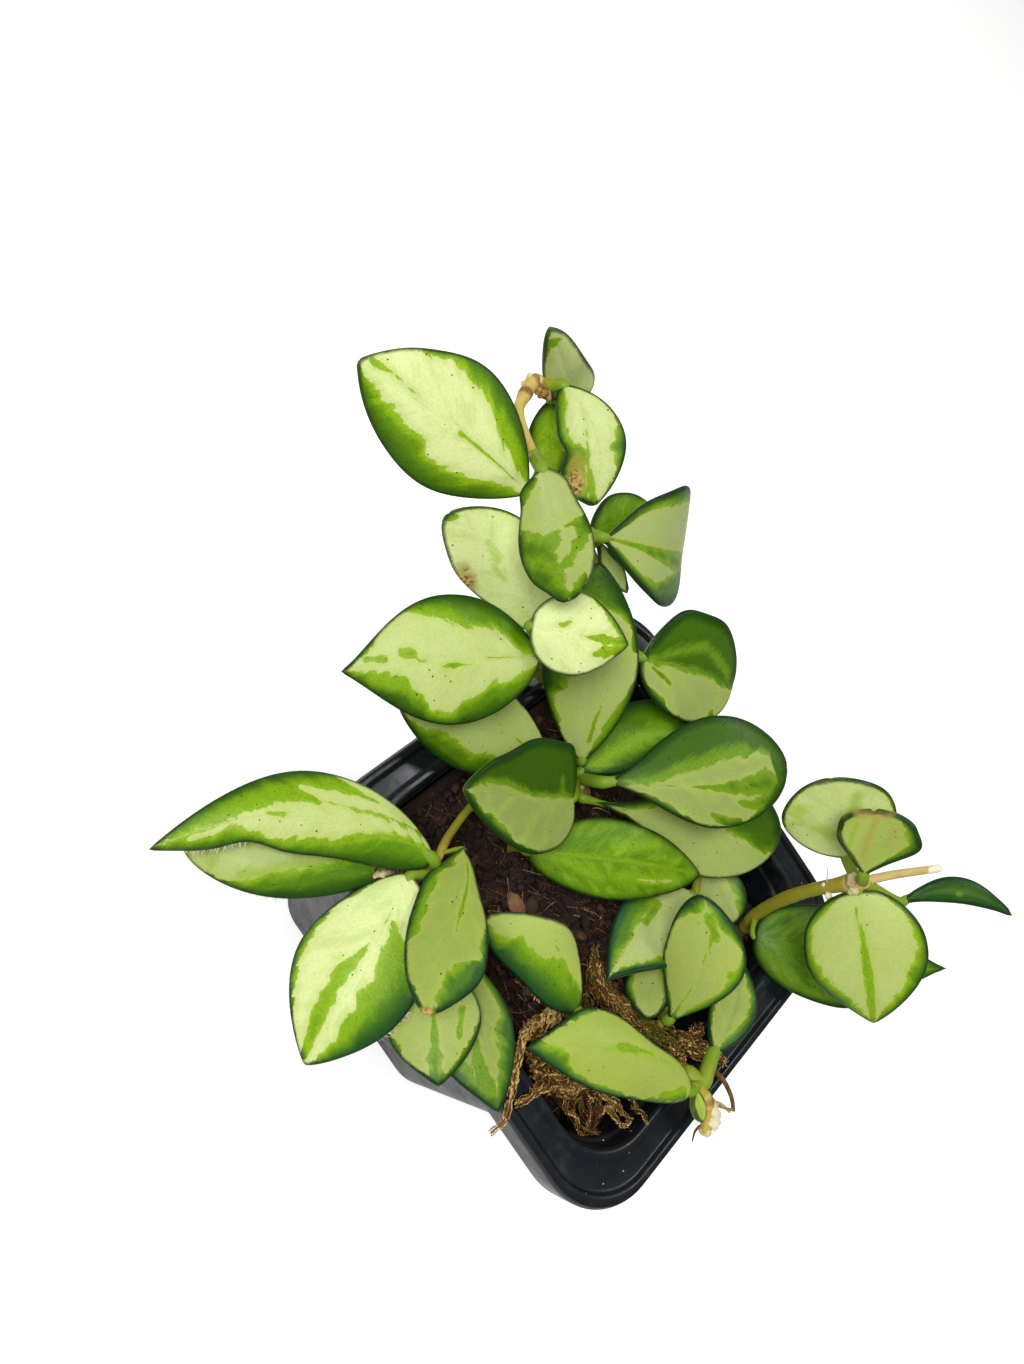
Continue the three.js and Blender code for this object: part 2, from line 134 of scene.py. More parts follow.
world = bpy.data.worlds.new("pale room")
world.use_nodes = True
world_nodes = world.node_tree.nodes
world_links = world.node_tree.links
background = world_nodes["Background"]
background.inputs["Color"].default_value = WORLD_TINT
strength = world_nodes.new("ShaderNodeMapRange")
strength.inputs["To Min"].default_value = WORLD_AS_LIGHT
strength.inputs["To Max"].default_value = WORLD_AS_SEEN
camera_ray = world_nodes.new("ShaderNodeLightPath").outputs["Is Camera Ray"]
world_links.new(camera_ray, strength.inputs["Value"])
world_links.new(strength.outputs[0], background.inputs["Strength"])
scene.world = world
print("world strength:", WORLD_AS_LIGHT, "as light,", WORLD_AS_SEEN, "as seen")

# %% [markdown]
# ## Short calls for shader nodes
# A material here is a few dozen nodes. Wiring each by hand hides the idea in sockets, so a small helper
# holds one node tree, and each of its calls adds one node and gives back the socket that comes out.

# %% Node helper


def colour(red, green, blue):
    """A colour as it is read off a screen, 0 to 255, as the linear value that shaders use."""
    shares = [c / 255 for c in (red, green, blue)]
    linear = [c / 12.92 if c <= 0.04045 else ((c + 0.055) / 1.055) ** 2.4 for c in shares]
    return (*linear, 1.0)


class Wiring:
    """Adds nodes to one tree. A value may be a socket, a number, a colour or a vector."""

    def __init__(self, tree):
        self.tree = tree

    def add(self, kind, **settings):
        node = self.tree.nodes.new(kind)
        for name, value in settings.items():
            setattr(node, name, value)
        return node

    def feed(self, socket, value):
        if isinstance(value, bpy.types.NodeSocket):
            self.tree.links.new(value, socket)
        else:
            socket.default_value = value

    def math(self, operation, a, b=0.0):
        node = self.add("ShaderNodeMath", operation=operation)
        self.feed(node.inputs[0], a)
        self.feed(node.inputs[1], b)
        return node.outputs[0]

    def times(self, a, b):
        return self.math("MULTIPLY", a, b)

    def plus(self, a, b, share):
        """a, and a share of b."""
        return self.math("ADD", a, self.times(b, share))

    def centred(self, value):
        """A value from 0 to 1, moved so that its middle is 0."""
        return self.math("SUBTRACT", value, 0.5)

    def mix(self, share, a, b):
        """From a to b as share goes from 0 to 1."""
        node = self.add("ShaderNodeMix", data_type="RGBA")
        for index, value in ((0, share), (6, a), (7, b)):
            self.feed(node.inputs[index], value)
        return node.outputs[2]

    def ease(self, value, low, high, start=0.0, end=1.0):
        """Goes smoothly from start to end as the value goes from low to high."""
        node = self.add("ShaderNodeMapRange", interpolation_type="SMOOTHSTEP")
        for index, number in enumerate((value, low, high, start, end)):
            self.feed(node.inputs[index], number)
        return node.outputs[0]

    def mottled(self, grain, low, high):
        """A value that wanders between low and high with the grain's mottle."""
        return self.ease(grain["Mottle"], 0.3, 0.7, low, high)

    def stretch(self, vector, factors):
        """The vector with each of its parts scaled, to draw a texture out in one direction."""
        node = self.add("ShaderNodeVectorMath", operation="MULTIPLY")
        self.feed(node.inputs[0], vector)
        self.feed(node.inputs[1], factors)
        return node.outputs[0]

    def noise(self, vector, scale, detail, roughness):
        node = self.add("ShaderNodeTexNoise")
        settings = {"Vector": vector, "Scale": scale, "Detail": detail, "Roughness": roughness}
        for name, value in settings.items():
            self.feed(node.inputs[name], value)
        return node.outputs[0]

    def parts(self, vector):
        """The three numbers that a vector or a colour holds."""
        node = self.add("ShaderNodeSeparateXYZ")
        self.feed(node.inputs[0], vector)
        return node.outputs

    def attribute(self, name):
        return self.add("ShaderNodeAttribute", attribute_name=name).outputs["Vector"]

    def place(self):
        """Where a spot is on the object, in metres."""
        return self.add("ShaderNodeTexCoord").outputs["Object"]

    def group(self, tree, **values):
        """A copy of a node group, with its own values. An input with a space takes an underscore here."""
        node = self.add("ShaderNodeGroup")
        node.node_tree = tree
        for name, value in values.items():
            self.feed(node.inputs[name.replace("_", " ")], value)
        return node.outputs

    def ramp(self, value, stops):
        """A colour between stops: rows of (position, red, green, blue)."""
        node = self.add("ShaderNodeValToRGB")
        self.feed(node.inputs[0], value)
        elements = node.color_ramp.elements
        for element, stop in zip(elements, (stops[0], stops[-1])):
            element.position = stop[0]
            element.color = colour(*stop[1:])
        for position, *levels in stops[1:-1]:
            elements.new(position).color = colour(*levels)
        return node.outputs[0]


def new_group(name, inputs, outputs):
    """A shader node group with named sockets, and its wiring, inputs and outputs."""
    tree = bpy.data.node_groups.new(name, "ShaderNodeTree")
    for label, kind, value in inputs:
        socket = tree.interface.new_socket(label, in_out="INPUT", socket_type="NodeSocket" + kind)
        if value is not None:
            socket.default_value = value
    for label, kind in outputs:
        tree.interface.new_socket(label, in_out="OUTPUT", socket_type="NodeSocket" + kind)
    wiring = Wiring(tree)
    entry = wiring.add("NodeGroupInput").outputs
    leave = wiring.add("NodeGroupOutput").inputs
    return tree, wiring, entry, leave


def new_material(name, **constants):
    """A material, its wiring and its Principled shader, with the constants set on the shader itself."""
    material = bpy.data.materials.new(name)
    material.use_nodes = True
    wiring = Wiring(material.node_tree)
    shader = material.node_tree.nodes["Principled BSDF"]
    for label, value in constants.items():
        shader.inputs[label.replace("_", " ")].default_value = value
    return material, wiring, shader


def dress(wiring, shader, skin, roughness, height, distance, strength):
    """Feeds the shader its finished colour, its roughness, and a height by way of a bump."""
    bump = wiring.add("ShaderNodeBump")
    bump.inputs["Strength"].default_value = strength
    bump.inputs["Distance"].default_value = distance
    wiring.feed(bump.inputs["Height"], height)
    for label, value in (("Base Color", skin), ("Roughness", roughness), ("Normal", bump.outputs[0])):
        wiring.feed(shader.inputs[label], value)
    print("a material with", len(wiring.tree.nodes), "nodes")


print("middle grey, 128 on a screen, is", round(colour(128, 128, 128)[0], 2), "to a shader")

# %% [markdown]
# ## Effects that several materials share
# Close up, a leaf, a stem and moulded plastic all have a fine grain, and both the leaves and the pot carry
# small specks: dark ones on the leaves, pale grit on the pot. Each effect is one node group with named
# inputs, placed in each material with its own values, so a better grain improves every surface at once.

# %% Group: fine grain
grain_group, w, entry, leave = new_group(
    "Fine grain",
    [("Place", "Vector", None), ("Scale", "Float", 1000.0), ("Pebble", "Float", 0.5)],
    [("Height", "Float"), ("Mottle", "Float")],
)
soft = w.noise(entry["Place"], entry["Scale"], 3.0, 0.55)
cells = w.add("ShaderNodeTexVoronoi", feature="SMOOTH_F1")
w.feed(cells.inputs["Vector"], entry["Place"])
w.feed(cells.inputs["Scale"], w.times(entry["Scale"], 1.6))
pebbles = w.times(cells.outputs["Distance"], entry["Pebble"])
w.feed(leave["Height"], w.math("SUBTRACT", soft, pebbles))
w.feed(leave["Mottle"], w.noise(entry["Place"], w.times(entry["Scale"], 0.2), 4.0, 0.6))
print("group:", grain_group.name, [s.name for s in grain_group.interface.items_tree])

# %% Group: specks
specks_group, w, entry, leave = new_group(
    "Specks",
    [("Place", "Vector", None), ("Scale", "Float", 400.0), ("Size", "Float", 0.06),
     ("Share", "Float", 0.3)],
    [("Mask", "Float")],
)
cells = w.add("ShaderNodeTexVoronoi")
w.feed(cells.inputs["Vector"], entry["Place"])
w.feed(cells.inputs["Scale"], entry["Scale"])
draw = w.parts(cells.outputs["Color"])
reach = w.times(entry["Size"], w.ease(draw[1], 0.0, 1.0, 0.4, 1.3))
inside = w.ease(w.math("SUBTRACT", reach, cells.outputs["Distance"]), 0.0, 0.015)
w.feed(leave["Mask"], w.times(inside, w.math("LESS_THAN", draw[0], entry["Share"])))
print("group:", specks_group.name, [s.name for s in specks_group.interface.items_tree])

# %% [markdown]
# ## Gathering a mesh
# Each piece of the plant is one mesh: the blades, petioles and stem of a leafy stem grew together. Joining
# dozens of Blender objects is slow, so the parts are worked out as arrays of points and faces, gathered in
# a list, and handed to Blender once. Values that vary over the skin, such as the distance from a leaf's
# edge, travel with the points as attributes, and the materials read them.

# %% Gathering parts into a piece


class Skin:
    """The points, faces and point values of one piece, in millimetres, gathered part by part."""

    def __init__(self):
        self.points = []
        self.faces = []
        self.material_of = []
        self.values = []
        self.count = 0

    def add(self, part, material=0, **values):
        points, faces = part
        for group in faces:
            self.faces.extend((np.asarray(group) + self.count).tolist())
            self.material_of.extend([material] * len(group))
        self.points.append(points)
        self.values.append((len(points), values))
        self.count += len(points)

    def column(self, name):
        """One attribute over all parts, with zeros where a part has none."""
        rows = []
        for count, values in self.values:
            rows.append(np.broadcast_to(values.get(name, (0.0, 0.0, 0.0)), (count, 3)))
        return np.vstack(rows)

    def build(self, name, node, materials, attributes, smooth=True):
        """Makes the piece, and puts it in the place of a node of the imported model."""
        mesh = bpy.data.meshes.new(name)
        mesh.from_pydata((np.vstack(self.points) * MM).tolist(), [], self.faces)
        mesh.polygons.foreach_set("material_index", self.material_of)
        mesh.polygons.foreach_set("use_smooth", [smooth] * len(self.faces))
        for label in attributes:
            layer = mesh.attributes.new(label, "FLOAT_VECTOR", "POINT")
            layer.data.foreach_set("vector", self.column(label).astype(np.float32).ravel())
        for material in materials:
            mesh.materials.append(material)
        piece = bpy.data.objects.new(name, mesh)
        scene.collection.objects.link(piece)
        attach(piece, "root")
        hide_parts(node)
        triangles = sum(len(face) - 2 for face in self.faces)
        print(f"{name}: {triangles} triangles")
        return piece


def grid_faces(rings, around):
    """Four-sided faces between rings of points, each ring closed on itself."""
    ring, spot = np.meshgrid(np.arange(rings - 1), np.arange(around), indexing="ij")
    ahead = (spot + 1) % around
    here, above = ring * around, (ring + 1) * around
    corners = (here + spot, here + ahead, above + ahead, above + spot)
    return np.stack([c.ravel() for c in corners], axis=1)


def fans(rings, around, first_pole, last_pole):
    """Triangles that close the first and the last ring with one point each."""
    spot = np.arange(around)
    ahead = (spot + 1) % around
    top = (rings - 1) * around
    start = np.stack([spot, np.full(around, first_pole), ahead], axis=1)
    end = np.stack([top + spot, top + ahead, np.full(around, last_pole)], axis=1)
    return np.vstack([start, end])


def closed_rings(rings, around):
    """All the faces of a body of rings, whose two poles come after the rings' points."""
    count = rings * around
    return [grid_faces(rings, around), fans(rings, around, count, count + 1)]


print("3 rings of 4 points and 2 poles take", sum(len(f) for f in closed_rings(3, 4)), "faces")

# %% [markdown]
# ## Smooth lines and tubes
# Stems, petioles, roots and moss are all bent rods that swell and thin. A curve object with a bevel would
# do, but its thickness is awkward to vary and it can't carry age or cork values. A tube made ring by ring
# along a smooth line can.

# %% Lines and tubes
CAP_ANGLES = (65, 35)


def smooth_path(points, step):
    """Points about every step mm along a centripetal Catmull-Rom curve through the given ones."""
    given = np.array(points, float)
    given = np.vstack([2 * given[0] - given[1], given, 2 * given[-1] - given[-2]])
    dense = []
    for a, b, c, d in zip(given, given[1:], given[2:], given[3:]):
        t1 = np.linalg.norm(b - a) ** 0.5
        t2 = t1 + np.linalg.norm(c - b) ** 0.5
        t3 = t2 + np.linalg.norm(d - c) ** 0.5
        t = np.linspace(t1, t2, 16, endpoint=False)[:, None]
        ab = ((t1 - t) * a + t * b) / t1
        bc = ((t2 - t) * b + (t - t1) * c) / (t2 - t1)
        cd = ((t3 - t) * c + (t - t2) * d) / (t3 - t2)
        abc = ((t2 - t) * ab + t * bc) / t2
        bcd = ((t3 - t) * bc + (t - t1) * cd) / (t3 - t1)
        dense.append(((t2 - t) * abc + (t - t1) * bcd) / (t2 - t1))
    dense = np.vstack([*dense, given[-2]])
    walked = np.concatenate([[0], np.cumsum(np.linalg.norm(np.diff(dense, axis=0), axis=1))])
    stops = np.linspace(0, walked[-1], max(4, round(walked[-1] / step) + 1))
    return np.stack([np.interp(stops, walked, dense[:, k]) for k in range(3)], axis=1)


def unit(vectors):
    return vectors / np.maximum(np.linalg.norm(vectors, axis=-1, keepdims=True), 1e-9)


def tube(path, radii, sides, flat=1.0):
    """A rod with round ends along a path. flat thins it in one direction, as a ribbon is thin."""
    radii = np.broadcast_to(radii, len(path)).astype(float)
    tangents = unit(np.gradient(path, axis=0))
    cap = np.radians(CAP_ANGLES)
    before = path[0] - tangents[0] * radii[0] * np.sin(cap)[:, None]
    after = path[-1] + tangents[-1] * radii[-1] * np.sin(cap[::-1])[:, None]
    line = np.vstack([before, path, after])
    widths = np.concatenate([radii[0] * np.cos(cap), radii, radii[-1] * np.cos(cap[::-1])])
    heading = np.vstack([tangents[:1]] * 2 + [tangents] + [tangents[-1:]] * 2)
    across = np.cross(heading[0], (0.3, 0.5, 0.81))
    angles = np.arange(sides) / sides * 2 * np.pi
    rings = []
    for spot, width, ahead in zip(line, widths, heading):
        across = unit(across - ahead * (across @ ahead))
        over = np.cross(ahead, across)
        ring = np.cos(angles)[:, None] * across + flat * np.sin(angles)[:, None] * over
        rings.append(spot + width * ring)
    poles = [path[0] - tangents[0] * radii[0], path[-1] + tangents[-1] * radii[-1]]
    return np.vstack([*rings, *poles]), closed_rings(len(line), sides)


def tube_values(sides, rows):
    """One row of values for each point of a path, spread over the tube's rings, caps and poles."""
    rows = np.asarray(rows, float)
    rings = np.vstack([rows[:1]] * 2 + [rows] + [rows[-1:]] * 2)
    return np.vstack([np.repeat(rings, sides, axis=0), rows[:1], rows[-1:]])


rod = tube(np.outer(np.arange(5), (0, 0, 1.0)), 1.0, 12)
print("a rod along 5 points has", len(rod[0]), "corners")

# %% Lumps


def unit_ball(subdivisions):
    """The points and triangles of a ball of radius 1."""
    ball = bmesh.new()
    bmesh.ops.create_icosphere(ball, subdivisions=subdivisions, radius=1)
    points = np.array([v.co[:] for v in ball.verts])
    triangles = np.array([[v.index for v in f.verts] for f in ball.faces])
    ball.free()
    return points, triangles


BALLS = {level: unit_ball(level) for level in (1, 2, 3)}


def lump(centre, radii, rng, rough, level=3, turn=True):
    """An uneven rounded body. level says how finely its ball is divided."""
    points, triangles = BALLS[level]
    shift = rng.uniform(0, 50, 3)
    bulge = np.array([noise.noise(Vector(p * 1.4 + shift)) for p in points])
    shaped = points * (1 + rough * bulge[:, None]) * radii
    if turn:
        shaped = shaped @ random_turn(rng).T
    return shaped + np.asarray(centre), [triangles]


def random_turn(rng):
    """A matrix that turns a body by any angle."""
    w, x, y, z = unit(rng.normal(size=4))
    return np.array([
        [1 - 2 * (y * y + z * z), 2 * (x * y - w * z), 2 * (x * z + w * y)],
        [2 * (x * y + w * z), 1 - 2 * (x * x + z * z), 2 * (y * z - w * x)],
        [2 * (x * z - w * y), 2 * (y * z + w * x), 1 - 2 * (x * x + y * y)],
    ])


print("faces of the balls:", {level: len(triangles) for level, (_, triangles) in BALLS.items()})

# %% [markdown]
# ## The leaf
# A leaf of this hoya is 1.4 mm thick, with a rounded edge, a slight arch and often a cupped or folded
# blade. A subdivided plane with a solidify modifier gives square edges and an even thickness. Here a
# formula gives the middle surface, a grid of points lies closer together towards the edge, and the
# thickness grows from nothing at the rim in a quarter circle, so the rim catches light as a real one does.
#
# The pattern is typed as a gardener would describe it: the line where the green margin begins on each
# side, the green streaks, the pale islands, and the lime, faint and stained patches. Places on the blade
# are in hundredths: of its length from base to tip, and of its half-width from the midrib, with the left
# side below 0. They read as they were judged, and stay right when a leaf's size changes.

# %% The leaf's description
NARROWEST = 0.45
WAVES = 1.6
PHASE_PER_MM = 0.37
FOLD_SOFTNESS = 0.1
NOTCH_START = 0.7
NOTCH_LENGTH = 0.3
NOTCH_WIDTH = 0.7
STREAKS = ("green", "pale", "lime", "faint", "scars", "stains")


@dataclass
class Leaf:
    """A leaf in millimetres. Its right-hand side is the one seen from above, looking from base to tip."""

    base: tuple
    tip: tuple
    width: float
    # the turn about its length, in degrees
    roll: float
    # where it is widest, and how full its base and its tip are
    form: tuple = (0.5, 0.6, 0.6)
    # arch along its length, cup and fold across it, and sweep to one side
    bends: tuple = (0, 0, 0, 0)
    # the margins' inner lines: rows of (along, across)
    right: tuple = ()
    left: tuple = ()
    # streaks: each a row of (along, across, radius in mm), green, and pale islands in the green
    green: tuple = ()
    pale: tuple = ()
    # patches that are typed in the same way
    lime: tuple = ()
    faint: tuple = ()
    scars: tuple = ()
    stains: tuple = ()
    # how deep in the green the whole blade lies, in mm: above 0 it is green all over
    ground: float = -6.0
    # how yellow, how grey and dark, and how blue its colours are; the second is partly age and partly
    # painted shade, set for each leaf by how little light reaches it
    tone: tuple = (0.4, 0.1, 0.0)
    # where the edge is pushed out: rows of (side, along, mm, how far it spreads), and side is 1 on the
    # right and -1 on the left
    pushes: tuple = ()
    # hairs on the edge: rows of (side, from, to, how many)
    hairs: tuple = ()
    # how far the tip is notched and the edge waved, in mm
    notch: float = 0.0
    wave: float = 0.35
    # the stalk's radius, and points that it passes on its way from the stem
    petiole: float = 0.95
    stalk: tuple = ()

    def __post_init__(self):
        """Turns the tables' hundredths into shares."""
        for line in ("right", "left"):
            setattr(self, line, [(u / 100, v / 100) for u, v in getattr(self, line)])
        for kind in STREAKS:
            rows = getattr(self, kind)
            setattr(self, kind, [[(u / 100, v / 100, radius) for u, v, radius in row] for row in rows])
        self.pushes = [(side, at / 100, push, spread / 100) for side, at, push, spread in self.pushes]
        self.hairs = [(side, low / 100, high / 100, count) for side, low, high, count in self.hairs]

    def axes(self):
        """The leaf's own directions: along the midrib, to its right, and off its upper face."""
        line = np.subtract(self.tip, self.base)
        length = np.linalg.norm(line)
        along = line / length
        level = unit(np.cross(along, (0, 0, 1)))
        upward = np.cross(level, along)
        turn = math.radians(self.roll)
        side = level * math.cos(turn) + upward * math.sin(turn)
        return length, along, side, np.cross(side, along)

    def swell(self, u):
        """How wide the blade is at u, as a share of its full width."""
        widest, base_fullness, tip_fullness = self.form
        stretch = math.log(0.5) / math.log(widest)
        fullness = np.where(u < widest, base_fullness, tip_fullness)
        return np.clip(np.sin(np.pi * u ** stretch), 0, 1) ** fullness

    def half(self, u):
        """The half-width without pushes. It doesn't shrink to nothing, so that it can divide."""
        return np.maximum(NARROWEST, self.width / 2 * self.swell(u))

    def reach(self, hand, u):
        """The half-width on one side, with its pushes."""
        reach = self.width / 2 * self.swell(u)
        for side, at, push, spread in self.pushes:
            if side == hand:
                reach = reach + push * np.exp(-((u - at) / spread) ** 2) * np.sin(np.pi * u) ** 0.5
        return reach

    def surface(self, u, y):
        """The point of the middle surface at u, y mm to the right of the midrib."""
        arch, cup, fold, sweep = self.bends
        length, along, side, normal = self.axes()
        half = self.half(u)
        v = y / half
        bow = 4 * u * (1 - u) * length
        phase = self.tip[0] * PHASE_PER_MM
        ripple = self.wave * v * np.abs(v) * np.sin(2 * np.pi * (WAVES * u + phase))
        lift = arch * bow + half * (fold * np.hypot(v, FOLD_SOFTNESS) - cup * v * v) + ripple
        across = sweep * bow + y
        towards_tip = np.clip((u - NOTCH_START) / NOTCH_LENGTH, 0, 1)
        back = self.notch * towards_tip ** 2 * np.exp(-(v / NOTCH_WIDTH) ** 2)
        return (np.asarray(self.base) + np.multiply.outer(u * length - back, along)
                + np.multiply.outer(lift, normal) + np.multiply.outer(across, side))


plain_leaf = Leaf((0, 0, 0), (30, 0, 0), 18, 0)
print("a plain leaf is", round(2 * float(plain_leaf.half(0.5)), 1), "mm wide in the middle")

# %% The pattern as distances
FAR_OUT = -9.0
RAGGED = 0.36


def streak_depth(leaf, streak, u, y):
    """How deep a spot lies in a tapered streak, eased so that thin ones stay whole under the noise."""
    length = leaf.axes()[0]
    x = u * length
    deepest = np.full(u.shape, FAR_OUT)
    nodes = [(a * length, b * leaf.half(np.array(a)), r) for a, b, r in streak]
    if len(nodes) == 1:
        nodes = nodes * 2
    for (x1, y1, r1), (x2, y2, r2) in zip(nodes, nodes[1:]):
        dx, dy = x2 - x1, y2 - y1
        span = max(dx * dx + dy * dy, 1e-6)
        t = np.clip(((x - x1) * dx + (y - y1) * dy) / span, 0, 1)
        teeth = np.sin(1.9 * x + 3.1 * y1) + 0.6 * np.sin(4.3 * x + 2.2 * y)
        ragged = RAGGED / (1 + 0.12 * span) * teeth
        radius = (r1 + (r2 - r1) * t) * (1 + ragged)
        depth = radius - np.hypot(x - x1 - t * dx, y - y1 - t * dy)
        deepest = np.maximum(deepest, depth / (0.35 + 0.6 * radius))
    return deepest


def margin_depth(leaf, u, y):
    """How far beyond the margins' inner lines a spot lies, in mm: below 0 it is in the pale middle."""
    half = leaf.half(u)
    depth = np.full(u.shape, leaf.ground)
    if leaf.right:
        line = np.interp(u, *np.array(leaf.right).T)
        depth = np.maximum(depth, y - line * half)
    if leaf.left:
        line = np.interp(u, *np.array(leaf.left).T)
        depth = np.maximum(depth, line * half - y)
    return depth


def deepest_streak(leaf, streaks, u, y):
    """How deep a spot lies in whichever streak it is deepest in."""
    depths = [streak_depth(leaf, streak, u, y) for streak in streaks]
    return np.max(depths, axis=0) if depths else np.full(u.shape, FAR_OUT)


def edge_distance(x, y, rim_x, rim_y):
    """The distance of each spot of a blade from its outline."""
    ax, ay = rim_x, rim_y
    dx, dy = np.roll(rim_x, -1) - ax, np.roll(rim_y, -1) - ay
    span = np.maximum(dx * dx + dy * dy, 1e-9)
    px, py = x.ravel()[:, None] - ax, y.ravel()[:, None] - ay
    t = np.clip((px * dx + py * dy) / span, 0, 1)
    gap = np.hypot(px - t * dx, py - t * dy).min(axis=1)
    return gap.reshape(x.shape)


spots = np.array([[0.5, 0.6, 0.7]])
depths = streak_depth(plain_leaf, [(0.5, 0, 1.0)], spots, np.zeros((1, 3)))
print("0, 3 and 6 mm from the middle of a spot, the depth is", depths.round(1).tolist()[0])

# %% The leaf's mesh
LEAF_RINGS = 64
LEAF_CELLS = 36
EDGE_RADIUS = 0.48
BODY_THICKNESS = 0.28
GROOVE_DEPTH = 0.13
GROOVE_WIDTH = 0.45
RIM_WOBBLE = 0.012
VEIN_SLANT = 0.9
VEIN_LENGTH = 1.35
SIDES_APART = 3
LEAVES_APART = 10


def leaf_part(leaf, seed):
    """One blade: its points, faces and the values that its material reads."""
    rng = np.random.default_rng(seed)
    t = (np.arange(LEAF_RINGS) + 0.5) / LEAF_RINGS
    u = (1 - np.cos(np.pi * t)) / 2
    v = np.sin(np.pi / 2 * np.linspace(-1, 1, LEAF_CELLS + 1))
    length = leaf.axes()[0]
    wobble = RIM_WOBBLE * leaf.width / 2 * np.sin(np.pi * u)
    half_right = leaf.reach(1, u) + wobble * np.sin(11 * u + rng.uniform(0, 6))
    half_left = leaf.reach(-1, u) + wobble * np.sin(12 * u + rng.uniform(0, 6))
    half = np.where(v > 0, half_right[:, None], half_left[:, None])
    y = v * half
    uu = np.broadcast_to(u[:, None], y.shape)
    middle = leaf.surface(uu, y)
    faces_up = unit(np.cross(np.gradient(middle, axis=1), np.gradient(middle, axis=0)))
    outline_x = np.concatenate([u, u[::-1]]) * length
    outline_y = np.concatenate([half_right, -half_left[::-1]])
    rim = edge_distance(uu * length, y, outline_x, outline_y)
    inner = np.clip(rim / EDGE_RADIUS, 0, 1)
    thick = EDGE_RADIUS * np.sqrt(1 - (1 - inner) ** 2)
    thick = thick + BODY_THICKNESS * (1 - v * v) * leaf.swell(u)[:, None] * inner
    groove = GROOVE_DEPTH * np.exp(-(y / GROOVE_WIDTH) ** 2) * np.sin(np.pi * uu) ** 0.5 * inner
    top = middle + faces_up * (thick - groove)[..., None]
    bottom = middle - faces_up * thick[..., None]
    points = np.concatenate([top, bottom[:, -2:0:-1]], axis=1)
    poles = np.stack([leaf.surface(np.array(s), np.array(0.0)) for s in (0.0, 1.0)])

    def spread(*columns):
        """Values of the grid on both faces of the blade, and at its two ends."""
        grid = np.stack(columns, axis=-1)
        both = np.concatenate([grid, grid[:, -2:0:-1]], axis=1).reshape(-1, len(columns))
        return np.vstack([both, both[:1], both[-1:]])

    depth = {kind: deepest_streak(leaf, getattr(leaf, kind), uu, y) for kind in STREAKS}
    patch = spread(depth["lime"], depth["faint"], depth["stains"])
    marks = spread(margin_depth(leaf, uu, y), depth["green"], depth["pale"])
    under = np.concatenate([np.zeros_like(y), np.ones_like(y[:, -2:0:-1])], axis=1).ravel()
    edges = spread(rim, depth["scars"], np.zeros_like(y))
    edges[:-2, 2] = under
    vein_start = uu * length - VEIN_SLANT * np.abs(y)
    veins = spread(vein_start, np.abs(y) * VEIN_LENGTH, np.sign(y) * SIDES_APART + LEAVES_APART * seed)
    values = {"marks": marks, "edges": edges, "veins": veins, "tone": leaf.tone, "patch": patch}
    faces = closed_rings(LEAF_RINGS, points.shape[1])
    return (np.vstack([points.reshape(-1, 3), poles]), faces), values


print("a blade has", 4 * LEAF_RINGS * LEAF_CELLS, "triangles")

# %% [markdown]
# ## The blade's finish
# The pale middle and the green margin meet in a sharp line that jumps from one side vein to the next,
# while the green itself goes softly from lime to nearly black at the rim. An image could hold this, but
# it would blur close up. So each point carries its distance from the green in millimetres, the material
# shakes that distance with noise that is stretched along the side veins, and reads a colour off it. The
# last tenths of a millimetre are a dark line, which is broader on bluish leaves and on the duller ones.
# Dullness stands for age and also for painted shade on leaves that get less light: it greys the pale and
# darkens the green. Soft brown stains, corky scars and dark specks come on top, as on a leaf that has
# lived.

# %% Colours of the leaf
CREAM = colour(227, 239, 168)
YELLOW_GREEN = colour(172, 190, 76)
# the greyer pale of duller leaves, partly from age and partly painted shade
SHADED_DULL_PALE = colour(127, 142, 67)
LIME = colour(152, 190, 26)
LEAF_GREEN = colour(106, 152, 14)
DARK_GREEN = colour(31, 69, 2)
RIM_GREEN = colour(24, 54, 12)
BLUE_GREEN = colour(38, 84, 40)
BLUE_RIM = colour(20, 50, 30)
UNDERSIDE = colour(120, 150, 60)
SCAR_TAN = colour(198, 168, 98)
SCAR_BROWN = colour(104, 70, 32)
SPECK = colour(30, 26, 16)
# the olive lime of duller leaves, partly from age and partly painted shade
AGED_SHADED_LIME = colour(112, 146, 28)
SCAR_HALO = colour(160, 164, 66)
STAIN = colour(172, 146, 76)
print("cream to the shader:", [round(c, 2) for c in CREAM])

# %% Blade: what its material reads
LEAF_VALUES = ["marks", "edges", "veins", "tone", "patch", "bark"]

blade_finish, w, shader = new_material(
    "leaf blade", IOR=1.45, Specular_IOR_Level=0.19,
    Subsurface_Weight=0.08, Subsurface_Radius=(0.6, 1.0, 0.25), Subsurface_Scale=0.8 * MM,
)
margin, streak, island = w.parts(w.attribute("marks"))[:3]
rim, scar, under = w.parts(w.attribute("edges"))[:3]
# the second value of the tone, dullness, holds age and painted shade together
yellow, age_and_shade, blue = w.parts(w.attribute("tone"))[:3]
lime_patch, faint_patch, stain_patch = w.parts(w.attribute("patch"))[:3]
veins = w.attribute("veins")
along_rib, _, leaf_side = w.parts(veins)[:3]
place = w.place()
grain = w.group(grain_group, Place=place, Scale=2200.0, Pebble=0.7)
print("a leafy stem's points carry", LEAF_VALUES)

# %% Blade: the line between cream and green
STRIPS_PER_MM = 0.7

